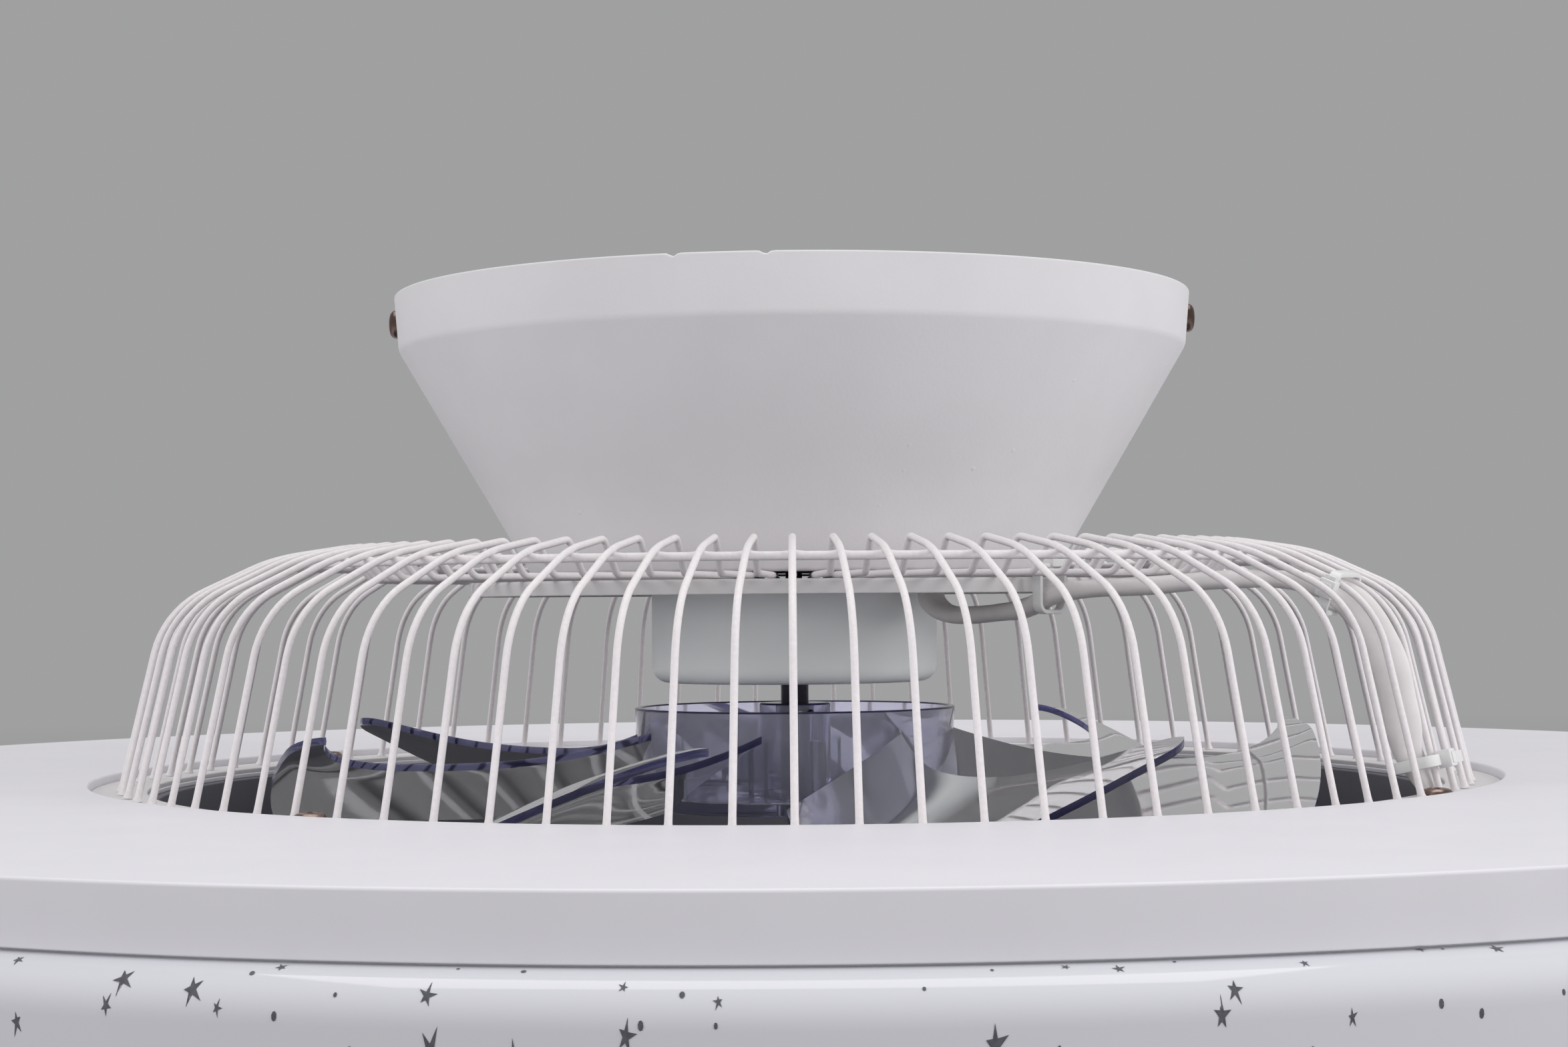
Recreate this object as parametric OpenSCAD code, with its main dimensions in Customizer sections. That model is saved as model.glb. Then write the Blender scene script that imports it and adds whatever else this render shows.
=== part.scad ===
// Low-profile ceiling fan: a wire cage round a small fan wheel, held by a conical
// canopy, with a wide light ring below. Millimetres, +Z up, origin in the middle
// of the bracket's face against the ceiling. Azimuths count from the front (-Y)
// towards +X. A "drop" is a depth below the ceiling.

/* [Canopy] */
// Outer radius at the ceiling
canopy_r = 100; // [92:1:112]
// Height of the upright band above the cone
band_h = 13.4; // [11:0.2:18]
// How far the band leans in over its height
band_lean = 1.1; // [0.2:0.1:2]
// Drop of the cone's flat foot
canopy_drop = 69.6; // [66:0.2:84]
// Outer radius of the foot
foot_r = 66; // [62:1:72]
// Sheet thickness
canopy_wall = 1.2; // [0.8:0.1:1.6]
// Radius of the cable mouth in the foot
mouth_r = 12; // [8:1:16]

/* [Ceiling bracket] */
// Width of the strap
bracket_w = 28; // [26:1:36]
// Thickness of the strap
bracket_t = 2; // [1.5:0.1:3]
// Distance between the two slots
slot_pitch = 90; // [70:1:110]
// Slot length, end to end
slot_len = 22; // [14:1:26]
// Slot width
slot_w = 5.5; // [4.5:0.1:6.5]
// Diameter of the cable hole
cable_hole_d = 20; // [12:1:20]
// Drop of the two side screws
side_screw_drop = 5.4; // [5:0.1:7]

/* [Cage] */
// Number of wires
wire_count = 84; // [60:4:88]
// Wire diameter
wire_d = 1.6; // [1.2:0.1:2]
// Radius where the wires' feet start, under the canopy
foot_start_r = 58; // [57:0.5:60]
// Radius where the feet turn up
foot_end_r = 105.8; // [100:0.2:108]
// Radius of the wires' peak
peak_r = 112.4; // [111:0.2:116]
// Height of the peak above the feet
peak_rise = 7.8; // [6:0.1:10]
// Radius of the shoulder's corner
shoulder_r = 155.6; // [153:0.2:157]
// Depth of the shoulder's corner below the feet
shoulder_fall = 6.9; // [5:0.1:9]
// Radius where the wires land on the flange
landing_r = 165.8; // [165:0.1:167]
// Drop of the light ring's top plate
plate_drop = 119; // [116:0.5:130]
// Radius of the hoop welded under the wires
hoop_r = 128.5; // [122:0.5:134]
// Hoop wire diameter
hoop_d = 1.9; // [1.4:0.1:2.2]
// Radius of the pan that carries cage and motor
pan_r = 82; // [76:1:90]
// Height of the pan's rim
pan_h = 3.5; // [3:0.1:4.5]
// Pan sheet thickness
pan_t = 1.5; // [1:0.1:1.8]

/* [Motor] */
// Outer radius of the housing
motor_r = 36; // [34.5:0.5:38]
// Depth of the housing below the pan's sheet
motor_h = 23.8; // [23.5:0.1:25]
// Housing wall
motor_wall = 2; // [1.5:0.1:2.4]
// Radius of the housing's lower edge
motor_edge_r = 4; // [2:0.5:6]
// Shaft diameter
shaft_d = 7; // [6:0.5:8]
// Stator teeth, one coil on each
tooth_count = 12; // [9:3:15]

/* [Fan wheel] */
// Hub radius at its top rim
hub_r = 40.5; // [38:0.5:44]
// Hub radius at its floor
hub_floor_r = 38; // [36:0.5:41]
// Hub height
hub_h = 25.3; // [24:0.1:28]
// Drop of the hub's top rim
hub_drop = 103; // [101:0.5:106]
// Hub wall
hub_wall = 1.8; // [1.4:0.1:2.2]
// Number of blades
blade_count = 7; // [5:1:7]
// Blade tip radius
blade_r = 130.5; // [120:0.5:136]
// Blade thickness, measured upright
blade_t = 1.8; // [1.4:0.1:2.2]
// Turn from leading to trailing edge at the hub
root_turn = 44; // [36:1:45]
// The same turn at the tip
tip_turn = 34; // [28:1:38]

/* [Light ring] */
// Outer radius of the metal rim
rim_r = 290; // [280:1:300]
// Height of the metal rim
rim_h = 11.3; // [10:0.1:16]
// Radius of the recess that holds the cage flange
recess_r = 173.4; // [172.4:0.2:177]
// Depth of the recess
recess_depth = 2; // [1.4:0.1:3]
// Sheet thickness of chassis and flange
sheet = 1.2; // [0.9:0.1:1.4]
// Radius of the fan opening in the flange
opening_r = 159.6; // [159.2:0.1:160]
// How far the diffuser bulges past the metal rim
bulge = 7.5; // [5:0.5:12]
// Drop of the diffuser's flat underside
lamp_drop = 194; // [186:1:210]
// Diffuser wall
diffuser_wall = 2; // [1.6:0.1:2.6]
// Radius of the diffuser's lower outer edge
lower_edge_r = 16; // [8:1:20]

/* [Wiring] */
// Width of the flat wiring sleeve
sleeve_w = 8.4; // [7:0.2:8.4]
// Thickness of the flat wiring sleeve
sleeve_t = 4.4; // [3:0.2:4.4]

/* [Hidden] */
$fn = 96;

WHITE = [0.93, 0.92, 0.94];
CLEAR = [0.80, 0.80, 0.92, 0.45];
STEEL = [0.62, 0.63, 0.66];
DARK = [0.25, 0.25, 0.28];

// clearances
slip = 0.05;    // a part that turns or slides in another
seat = 0.1;     // faces that rest on each other after assembly
room = 0.3;     // soft or loose neighbours

// screw sizes: [shank diameter, head diameter, head height]
M3 = [2.9, 5.6, 1.8];
M4 = [3.9, 7.2, 2.2];

// one wire pitch, and azimuths counted in it, so that screws fall between wires
pitch = 360 / wire_count;
flange_screw_slots = [-29.5, -8.5, 13.5, 33.5];

// drops worked out from the driving sizes
wire_z = -(canopy_drop + seat + wire_d / 2);
pan_top = wire_z - wire_d / 2 - seat;
pan_under = pan_top - pan_t;
flange_top = -(plate_drop + recess_depth);
flange_under = flange_top - sheet;
chassis_seat = flange_under;
chassis_under = chassis_seat - sheet;
flange_screw_r = (opening_r + recess_r) / 2 + 0.5;
pan_screw_r = 51;

// azimuth from the front turned into OpenSCAD's angle from +X
function turned(az) = az - 90;
function polar(r, az) = [r * sin(az), -r * cos(az)];
module at(r, az, z = 0) { translate([r * sin(az), -r * cos(az), z]) children(); }
// children drawn at +X, moved to an azimuth
module facing(az) { rotate(turned(az)) children(); }

// ---- fasteners ----------------------------------------------------------

// screw with its head above z = 0 and its shank below, and a cross in the head
module pan_screw(size, length) {
    bevel = size[2] * 0.45;
    translate([0, 0, -length]) cylinder(d = size[0], h = length + 0.01, $fn = 32);
    difference() {
        rotate_extrude($fn = 48) polygon([[0, 0], [size[1] / 2, 0], [size[1] / 2, size[2] - bevel],
            [size[1] / 2 - bevel, size[2]], [0, size[2]]]);
        for (turn = [0, 90]) rotate(turn)
            translate([-size[1] * 0.3, -size[2] * 0.18, size[2] * 0.45])
                cube([size[1] * 0.6, size[2] * 0.36, size[2]]);
    }
}

// screw whose cone sinks flush with z = 0
module flush_screw(size, length) {
    translate([0, 0, -length]) cylinder(d = size[0], h = length, $fn = 32);
    translate([0, 0, -size[0] / 2]) cylinder(r1 = size[0] / 2, r2 = size[0], h = size[0] / 2, $fn = 32);
}

module hex_nut(size, height) {
    difference() {
        cylinder(d = size[0] * 1.95, h = height, $fn = 6);
        translate([0, 0, -1]) cylinder(d = size[0] + 2 * slip, h = height + 2, $fn = 32);
    }
}

// ---- canopy and what it hides -------------------------------------------

kink_r = canopy_r - band_lean;
cone_h = canopy_drop - band_h;
// the cone's sheet is wider along a radius than it is thick
slant = norm([kink_r - foot_r, cone_h]) / cone_h;

// outer radius of the band and of the cone at a drop below the ceiling
function band_r_at(drop) = canopy_r - band_lean * drop / band_h;
function cone_r_at(drop) = foot_r + (kink_r - foot_r) * (canopy_drop - drop) / cone_h;

module canopy_outline(inset, open_top) {
    polygon([[0, open_top], [canopy_r - inset, open_top], [canopy_r - inset, 0],
        [kink_r - inset * slant, -band_h],
        [cone_r_at(canopy_drop - inset) - inset * slant, -canopy_drop + inset], [0, -canopy_drop + inset]]);
}

module side_screw_places() {
    for (side = [0, 180]) rotate(side) translate([0, 0, -side_screw_drop]) children();
}

module pan_screw_places() { for (i = [0:3]) rotate(i * 90) translate([pan_screw_r, 0, 0]) children(); }

module sleeve_exit_hole(z, h) {
    first = sleeve_route[0];
    grown = sleeve_t + 2 * room;
    at(first[0], first[1], z) rotate(turned(first[1])) {
        for (k = [-1, 1]) translate([0, k * (sleeve_w - sleeve_t) / 2, 0]) cylinder(d = grown, h = h, $fn = 32);
        translate([-grown / 2, -(sleeve_w - sleeve_t) / 2, 0]) cube([grown, sleeve_w - sleeve_t, h]);
    }
}

module canopy() {
    color(WHITE) difference() {
        rotate_extrude() difference() {
            canopy_outline(0, 0);
            canopy_outline(canopy_wall, 1);
        }
        translate([0, 0, -canopy_drop - 1]) cylinder(r = mouth_r, h = canopy_wall + 2);
        side_screw_places() rotate([0, 90, 0]) translate([0, 0, canopy_r - canopy_wall - band_lean - 1])
            cylinder(d = M4[0] + 0.5, h = canopy_wall + band_lean + 2, $fn = 32);
        pan_screw_places() translate([0, 0, -canopy_drop - 1])
            cylinder(d = M4[0] + 0.5, h = canopy_wall + 2, $fn = 32);
        sleeve_exit_hole(-canopy_drop - 1, canopy_wall + 2);
    }
}

// the strap's ears stand just inside the canopy's band
ear_w = 16;
ear_h = 2 * side_screw_drop;
ear_face = sqrt(pow(band_r_at(ear_h) - canopy_wall - room, 2) - pow(ear_w / 2, 2));

module ceiling_bracket() {
    color(STEEL) difference() {
        union() {
            translate([-ear_face, -bracket_w / 2, -bracket_t]) difference() {
                cube([2 * ear_face, bracket_w, bracket_t]);
                // the strap narrows to its ears
                for (x = [-1, 2 * ear_face - 13], y = [-1, bracket_w - (bracket_w - ear_w) / 2])
                    translate([x, y, -1]) cube([14, (bracket_w - ear_w) / 2 + 1, bracket_t + 2]);
            }
            for (side = [0, 180]) rotate(side)
                translate([ear_face - bracket_t, -ear_w / 2, -ear_h]) cube([bracket_t, ear_w, ear_h]);
        }
        translate([0, 0, -bracket_t - 1]) cylinder(d = cable_hole_d, h = bracket_t + 2);
        for (side = [-1, 1]) translate([side * slot_pitch / 2, 0, -bracket_t - 1]) {
            for (end = [-1, 1]) translate([end * (slot_len - slot_w) / 2, 0, 0])
                cylinder(d = slot_w, h = bracket_t + 2, $fn = 32);
            translate([-(slot_len - slot_w) / 2, -slot_w / 2, 0])
                cube([slot_len - slot_w, slot_w, bracket_t + 2]);
        }
        side_screw_places() rotate([0, 90, 0]) translate([0, 0, ear_face - bracket_t - 1])
            cylinder(d = M4[0] + 2 * slip, h = bracket_t + 2, $fn = 32);
        translate([earth_x, earth_y, -bracket_t - 1])
            cylinder(d = M3[0] + 2 * slip, h = bracket_t + 2, $fn = 32);
    }
}

module canopy_screws() {
    color(STEEL) side_screw_places() rotate([0, 90, 0])
        translate([0, 0, band_r_at(side_screw_drop - M4[1] / 2) + seat])
            pan_screw(M4, canopy_wall + bracket_t + 4);
}

earth_x = 22;
earth_y = 8;
module earth_screw() {
    color([0.75, 0.62, 0.3]) translate([earth_x, earth_y, -bracket_t]) rotate([180, 0, 0])
        pan_screw(M3, bracket_t - 0.2);
}

// three-pole terminal block under the strap
block = [21, 16, 13];
block_x = -cable_hole_d / 2 - 2 - block[0];
module terminal_block() {
    pole = block[0] / 3;
    color([0.9, 0.9, 0.86]) translate([block_x, -block[1] / 2, -bracket_t - block[2]])
        difference() {
            union() {
                cube(block);
                for (i = [0:2]) translate([(i + 0.5) * pole, block[1] / 2, -2])
                    cylinder(d = pole * 0.7, h = 3, $fn = 32);
            }
            for (i = [0:2]) translate([(i + 0.5) * pole, -1, block[2] * 0.45]) rotate([-90, 0, 0])
                cylinder(d = pole * 0.55, h = block[1] + 2, $fn = 32);
            for (i = [0:2]) translate([(i + 0.5) * pole, block[1] / 2, -3])
                cylinder(d = pole * 0.45, h = block[2] * 0.55 + 3, $fn = 32);
        }
}

// remote receiver and lamp supply, lying on the canopy's foot
box_size = [74, 32, 20];
box_y = 29;
box_floor = -canopy_drop + canopy_wall + seat;
module rounded_box(size, r) {
    linear_extrude(size[2]) union() {
        translate([-size[0] / 2 + r, -size[1] / 2]) square([size[0] - 2 * r, size[1]]);
        translate([-size[0] / 2, -size[1] / 2 + r]) square([size[0], size[1] - 2 * r]);
        for (x = [-1, 1], y = [-1, 1])
            translate([x * (size[0] / 2 - r), y * (size[1] / 2 - r)]) circle(r, $fn = 32);
    }
}
module receiver_box() {
    color([0.88, 0.88, 0.88]) translate([0, box_y, box_floor]) difference() {
        rounded_box(box_size, 3);
        translate([0, 0, 1.6]) rounded_box([box_size[0] - 3.2, box_size[1] - 3.2, box_size[2]], 1.5);
        for (x = [-1, 1]) translate([x * (box_size[0] / 2 - 1), 0, box_size[2] * 0.5]) rotate([0, 90, 0])
            cylinder(d = 7, h = 6, center = true, $fn = 32);
    }
}
module receiver_lid() {
    color([0.88, 0.88, 0.88]) translate([0, box_y, box_floor + box_size[2] + seat]) union() {
        rounded_box([box_size[0], box_size[1], 1.6], 3);
        translate([0, 0, -2]) rounded_box([box_size[0] - 3.8, box_size[1] - 3.8, 2.2], 1.2);
    }
}

module pan_screws() {
    color(STEEL) pan_screw_places() translate([0, 0, -canopy_drop + canopy_wall])
        pan_screw(M4, canopy_wall + 2 * seat + wire_d + pan_t + nut_h);
}
nut_h = 1.8;
module pan_nuts() {
    color(STEEL) pan_screw_places() translate([0, 0, pan_under - nut_h]) hex_nut(M4, nut_h);
}

// ---- cage ---------------------------------------------------------------

// pressed pan: clamps the wires' feet against the canopy and carries the motor
module cage_pan() {
    color(WHITE) difference() {
        rotate_extrude() polygon([[mouth_r, pan_top], [pan_r - 0.8, pan_top], [pan_r, pan_top - 0.8],
            [pan_r, pan_top - pan_h], [pan_r - pan_t, pan_top - pan_h], [pan_r - pan_t, pan_under],
            [mouth_r, pan_under]]);
        pan_screw_places() translate([0, 0, pan_under - 1])
            cylinder(d = M4[0] + 0.5, h = pan_t + 2, $fn = 32);
        base_screw_places() translate([0, 0, pan_top - M3[0] / 2 - slip]) {
            cylinder(r1 = M3[0] / 2 + slip, r2 = M3[0] + 2 * slip, h = M3[0] / 2 + 2 * slip, $fn = 32);
            translate([0, 0, -pan_t]) cylinder(d = M3[0] + 4 * slip, h = pan_t + 0.1, $fn = 32);
        }
        sleeve_exit_hole(pan_under - 1, pan_t + 2);
    }
}

// corners of a wire's centre line: [radius, height, bend radius]
slope_r = 130;
slope_z = wire_z + 0.65 * peak_rise;
wire_path = [[foot_start_r, wire_z, 0], [foot_end_r, wire_z, 3],
    [peak_r, wire_z + peak_rise, 2.5], [slope_r, slope_z, 40],
    [shoulder_r, wire_z - shoulder_fall, 22], [landing_r, flange_top + wire_d * 0.18, 0]];
// straight lengths reach a little way into the bends, which are a hair thicker
bite = 0.15;
swell = 0.02;

function unit(v) = v / norm(v);
function flat(p) = [p[0], p[1]];
function turn(a, b) = acos(max(-1, min(1, a * b)));
function heading(p, i) = unit(flat(p[i + 1]) - flat(p[i]));
// straight length that the bend at corner i takes off each side
function bend_cut(p, i) =
    i == 0 || i == len(p) - 1 ? 0 : p[i][2] * tan(turn(heading(p, i - 1), heading(p, i)) / 2);
function reach(p, i) = i == 0 || i == len(p) - 1 ? 0 : bend_cut(p, i) - bite;

// round rod along a bent line in the XZ plane
module bent_rod(p, d) {
    for (i = [0:len(p) - 2]) {
        u = heading(p, i);
        start = flat(p[i]) + u * reach(p, i);
        stop = flat(p[i + 1]) - u * reach(p, i + 1);
        translate([start[0], 0, start[1]]) rotate([0, atan2(u[0], u[1]), 0])
            cylinder(d = d, h = norm(stop - start), $fn = 24);
    }
    for (i = [1:len(p) - 2]) {
        u = heading(p, i - 1);
        v = heading(p, i);
        side = sign(u[0] * v[1] - u[1] * v[0]);
        n = side * [-u[1], u[0]];
        centre = flat(p[i]) - u * bend_cut(p, i) + n * p[i][2];
        first = atan2(-n[1], -n[0]);
        translate([centre[0], 0, centre[1]]) rotate([90, 0, 0])
            rotate(side > 0 ? first : first - turn(u, v))
                rotate_extrude(angle = turn(u, v)) translate([p[i][2], 0]) circle(d = d + 2 * swell, $fn = 24);
    }
}

// a quarter of the wires, counted from the front
module wires(quarter) {
    count = wire_count / 4;
    first = quarter * count - floor(count / 2);
    color(WHITE) for (i = [first:first + count - 1]) facing(i * pitch) bent_rod(wire_path, wire_d);
}
module cage_wires_front() { wires(0); }
module cage_wires_right() { wires(1); }
module cage_wires_back() { wires(2); }
module cage_wires_left() { wires(3); }

// height of a wire's centre line between its peak and the slope's corner
function slope_at(r) = r < slope_r
    ? wire_z + peak_rise + (slope_z - wire_z - peak_rise) * (r - peak_r) / (slope_r - peak_r)
    : slope_z + (wire_z - shoulder_fall - slope_z) * (r - slope_r) / (shoulder_r - slope_r);

module cage_hoop() {
    lean = atan2(slope_at(hoop_r - 1) - slope_at(hoop_r + 1), 2);
    drop = (wire_d + hoop_d) / 2 / cos(lean) + 3 * slip;
    color(WHITE) rotate_extrude($fn = 144) translate([hoop_r, slope_at(hoop_r) - drop]) circle(d = hoop_d, $fn = 24);
}

module flange_screw_places() {
    for (slot = flange_screw_slots) at(flange_screw_r, slot * pitch, 0) children();
}
// slot where the sleeve passes flange, chassis and inner wall
module sleeve_slot_cut(z, h) {
    last = sleeve_route[len(sleeve_route) - 1];
    grown = sleeve_t + 2 * room;
    straight = sleeve_w * last[4] - sleeve_t;
    at(last[0], last[1], z) rotate(turned(last[1])) {
        for (k = [-1, 1]) translate([0, k * straight / 2, 0]) cylinder(d = grown, h = h, $fn = 32);
        translate([-grown / 2, -straight / 2, 0]) cube([grown, straight, h]);
    }
}

module cage_flange() {
    color(WHITE) difference() {
        rotate_extrude($fn = 144) polygon([[opening_r, flange_under], [recess_r - room, flange_under],
            [recess_r - room, flange_top], [opening_r, flange_top]]);
        flange_screw_places() translate([0, 0, flange_under - 1]) cylinder(d = M4[0] + 0.4, h = sheet + 2, $fn = 32);
        sleeve_slot_cut(flange_under - 1, sheet + 2);
    }
}

module flange_screws() {
    color([0.72, 0.55, 0.45]) flange_screw_places() translate([0, 0, flange_top]) pan_screw(M4, 3 * sheet + 3);
}

// ---- motor --------------------------------------------------------------

bearing = [19, 6]; // outer diameter and width
base_t = 3;
motor_floor = pan_under - motor_h;
magnet_r = 17;
air_gap = 0.6;
core_h = 11;
core_top = pan_under - base_t - 3;
boss_wall = 2.5;
base_screw_r = 26;

module base_screw_places() { for (i = [0:2]) rotate(30 + i * 120) translate([base_screw_r, 0, 0]) children(); }

module bearing_boss(z, h) {
    translate([0, 0, z]) difference() {
        cylinder(d = bearing[0] + 2 * boss_wall, h = h);
        translate([0, 0, -1]) cylinder(d = bearing[0] + 2 * slip, h = h + 2);
    }
}

module motor_base() {
    color(STEEL) difference() {
        union() {
            translate([0, 0, pan_under - base_t]) cylinder(r = motor_r - motor_wall - room, h = base_t);
            translate([0, 0, pan_under - base_t - bearing[1]])
                cylinder(d = bearing[0] + 2 * boss_wall, h = bearing[1] + 0.1);
        }
        translate([0, 0, pan_under - base_t - bearing[1] - 1])
            cylinder(d = bearing[0] + 2 * slip, h = bearing[1] + 1);
        translate([0, 0, pan_under - base_t - 1]) cylinder(r = 6, h = base_t + 2);
        base_screw_places() translate([0, 0, pan_under - base_t - 1])
            cylinder(d = M3[0] + 2 * slip, h = base_t + 2, $fn = 32);
    }
}

module motor_base_screws() {
    color(STEEL) base_screw_places() translate([0, 0, pan_top - slip]) flush_screw(M3, pan_t + base_t);
}

module motor_housing() {
    e = motor_edge_r;
    color([0.86, 0.88, 0.89]) union() {
        rotate_extrude() difference() {
            union() {
                translate([shaft_d / 2 + 1.5, motor_floor + e]) square([motor_r - shaft_d / 2 - 1.5, motor_h - e]);
                translate([shaft_d / 2 + 1.5, motor_floor]) square([motor_r - e - shaft_d / 2 - 1.5, e + 1]);
                translate([motor_r - e, motor_floor + e]) circle(e, $fn = 48);
            }
            translate([0, motor_floor + motor_wall])
                square([motor_r - motor_wall, motor_h - motor_wall + 1]);
            translate([-2 * e, motor_floor - 1]) square([2 * e, motor_h]);
        }
        bearing_boss(motor_floor + motor_wall - 0.1, bearing[1] + 0.1);
    }
}

// one tooth's share of the core; coil and tooth share these sizes
tooth_w = 4.4;
core_r = motor_r - motor_wall - 1.5;
yoke = 3.2;
coil_t = 1.5;
module motor_stator() {
    color([0.4, 0.4, 0.44]) translate([0, 0, core_top - core_h]) linear_extrude(core_h) difference() {
        union() {
            difference() { circle(core_r); circle(core_r - yoke); }
            for (i = [0:tooth_count - 1]) rotate((i + 0.5) * 360 / tooth_count) {
                translate([magnet_r, -tooth_w / 2]) square([core_r - magnet_r - 1, tooth_w]);
                translate([magnet_r, -tooth_w * 0.8]) square([1.8, tooth_w * 1.6]);
            }
        }
        circle(magnet_r + air_gap);
    }
}

module motor_coils() {
    inner = magnet_r + air_gap + 1.9;
    long = core_r - yoke - inner - 0.6;
    color([0.72, 0.4, 0.2]) for (i = [0:tooth_count - 1]) rotate((i + 0.5) * 360 / tooth_count)
        translate([inner, 0, core_top - core_h / 2]) rotate([0, 90, 0]) linear_extrude(long) difference() {
            square([core_h + 2 * coil_t + 0.2, tooth_w + 2 * coil_t * 0.7], center = true);
            square([core_h + 0.2, tooth_w + 0.2], center = true);
        }
}

module bearing_ring(z) {
    color(STEEL) translate([0, 0, z]) difference() {
        cylinder(d = bearing[0], h = bearing[1]);
        translate([0, 0, -1]) cylinder(d = shaft_d + 2 * slip, h = bearing[1] + 2);
        // shields between the races
        for (side = [-0.5, bearing[1] - 0.5]) translate([0, 0, side]) difference() {
            cylinder(r = bearing[0] / 2 - 1.6, h = 1);
            translate([0, 0, -1]) cylinder(r = shaft_d / 2 + 1.4, h = 3);
        }
    }
}
module bearing_upper() { bearing_ring(pan_under - base_t - bearing[1]); }
module bearing_lower() { bearing_ring(motor_floor + motor_wall); }

// magnet ring on a thin wheel that clears both bearing bosses
module motor_magnets() {
    clear_r = bearing[0] / 2 + boss_wall + 1;
    mid = core_top - core_h / 2;
    color(DARK) rotate_extrude() polygon([[shaft_d / 2 + slip, mid - 1.2], [clear_r, mid - 1.2],
        [clear_r, mid - core_h / 2], [magnet_r, mid - core_h / 2], [magnet_r, mid + core_h / 2],
        [clear_r, mid + core_h / 2], [clear_r, mid + 1.2], [shaft_d / 2 + slip, mid + 1.2]]);
}

hub_top = -hub_drop;
hub_floor = hub_top - hub_h;
module motor_shaft() {
    top = pan_under - base_t + 1;
    color(DARK) difference() {
        translate([0, 0, hub_floor + 0.4]) cylinder(d = shaft_d, h = top - hub_floor - 0.4);
        translate([0, 0, hub_floor]) cylinder(d = M4[0] + 2 * slip, h = 9, $fn = 32);
    }
}

// ---- fan wheel ----------------------------------------------------------

boss_r = 9;
boss_rise = 0.9;
grub_z = hub_top - 1.6;
grub_az = 26;
grub_d = 2;
washer_t = 1;

function hub_r_at(z) = hub_floor_r + (hub_r - hub_floor_r) * (z - hub_floor) / hub_h;

// Each blade is a twisted sheet cut to a hooked outline. u runs from the leading
// edge (0) to the trailing edge (1), v from the hub (0) to the tip (1).
lead_root_az = 40.6;
lead_tip_az = 43.2;
// how far the leading edge is hollowed out between hub and tip
hollow = 18;
// fall per degree at the hub and at the tip, and how softly the tip's fall starts
root_fall = 0.404;
tip_fall = 0.92;
tip_ease = 4;
root_rise = -5.4;
tip_rise = -4;
// the sheet is cupped upwards towards the tip by this factor
cup = 30;
corner_cut = 5.5;
corner_span = 0.16;
embed = hub_wall / 2;
chord_steps = 8;
span_steps = 12;

function lead_az(v) = lead_root_az + (lead_tip_az - lead_root_az) * v
    - hollow * (1 - pow(1 - v, 4)) * (1 - pow(v, 9));
function trail_az(v) = lead_root_az - root_turn
    + (lead_tip_az - tip_turn - lead_root_az + root_turn) * v;
// height of the sheet at the hub and at the tip
function root_z(az) = hub_top + root_rise - root_fall * (lead_root_az - az);
function tip_z(az) = let (x = max(0, lead_tip_az - az)) hub_top + tip_rise - tip_fall * x * x / (x + tip_ease);
function tip_r_at(u) = blade_r - corner_cut * pow(max(0, 1 - u / corner_span), 2);
function blade_point(u, v, under) = let (
        az = lead_az(v) + (trail_az(v) - lead_az(v)) * u,
        z = root_z(az) * (1 - v) + tip_z(az) * v + cup * pow(v, 3) * (1 - v) - under * blade_t,
        inner = hub_r_at(z) - embed,
        r = inner + (tip_r_at(u) - inner) * v)
    concat(polar(r, az), [z]);

module blade() {
    row = span_steps + 1;
    grid = (chord_steps + 1) * row;
    points = [for (under = [0, 1], i = [0:chord_steps], j = [0:span_steps])
        blade_point(i / chord_steps, sin(90 * j / span_steps), under)];
    function id(under, i, j) = under * grid + i * row + j;
    skin = [for (i = [0:chord_steps - 1], j = [0:span_steps - 1], under = [0, 1], half = [0, 1]) let (
            a = id(under, i, j), b = id(under, i, j + 1), c = id(under, i + 1, j + 1), d = id(under, i + 1, j))
        under == 0 ? (half == 0 ? [a, b, c] : [a, c, d]) : (half == 0 ? [c, b, a] : [d, c, a])];
    chord_edges = [for (i = [0:chord_steps - 1], j = [0, span_steps], half = [0, 1]) let (
            a = id(0, i, j), b = id(0, i + 1, j), c = id(1, i + 1, j), d = id(1, i, j))
        j == 0 ? (half == 0 ? [a, b, c] : [a, c, d]) : (half == 0 ? [c, b, a] : [d, c, a])];
    span_edges = [for (j = [0:span_steps - 1], i = [0, chord_steps], half = [0, 1]) let (
            a = id(0, i, j), b = id(0, i, j + 1), c = id(1, i, j + 1), d = id(1, i, j))
        i == 0 ? (half == 0 ? [c, b, a] : [d, c, a]) : (half == 0 ? [a, b, c] : [a, c, d])];
    polyhedron(points, concat(skin, chord_edges, span_edges));
}

module fan_wheel() {
    floor_t = 3;
    rib_t = 2.4;
    rib_r = boss_r + 4;
    rib_top = hub_top - 9.3;
    rib_count = 4;
    color(CLEAR) difference() {
        union() {
            rotate_extrude() polygon([[0, hub_floor], [hub_floor_r, hub_floor], [hub_r, hub_top],
                [hub_r - hub_wall, hub_top], [hub_r_at(hub_floor + floor_t) - hub_wall, hub_floor + floor_t],
                [0, hub_floor + floor_t]]);
            translate([0, 0, hub_floor]) cylinder(r = boss_r, h = hub_h + boss_rise);
            for (i = [0:rib_count - 1]) facing(grub_az + 5 + i * 360 / rib_count)
                translate([boss_r - 1, -rib_t / 2, hub_floor + 0.5])
                    cube([rib_r - boss_r + 1, rib_t, rib_top - hub_floor - 0.5]);
            for (i = [0:blade_count - 1]) rotate(i * 360 / blade_count) blade();
        }
        translate([0, 0, hub_floor - 1]) cylinder(d = shaft_d + 2 * slip, h = hub_h + boss_rise + 2);
        facing(grub_az) translate([shaft_d / 2 - 1, 0, grub_z]) rotate([0, 90, 0])
            cylinder(d = grub_d + 2 * slip, h = boss_r, $fn = 32);
    }
}

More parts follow.
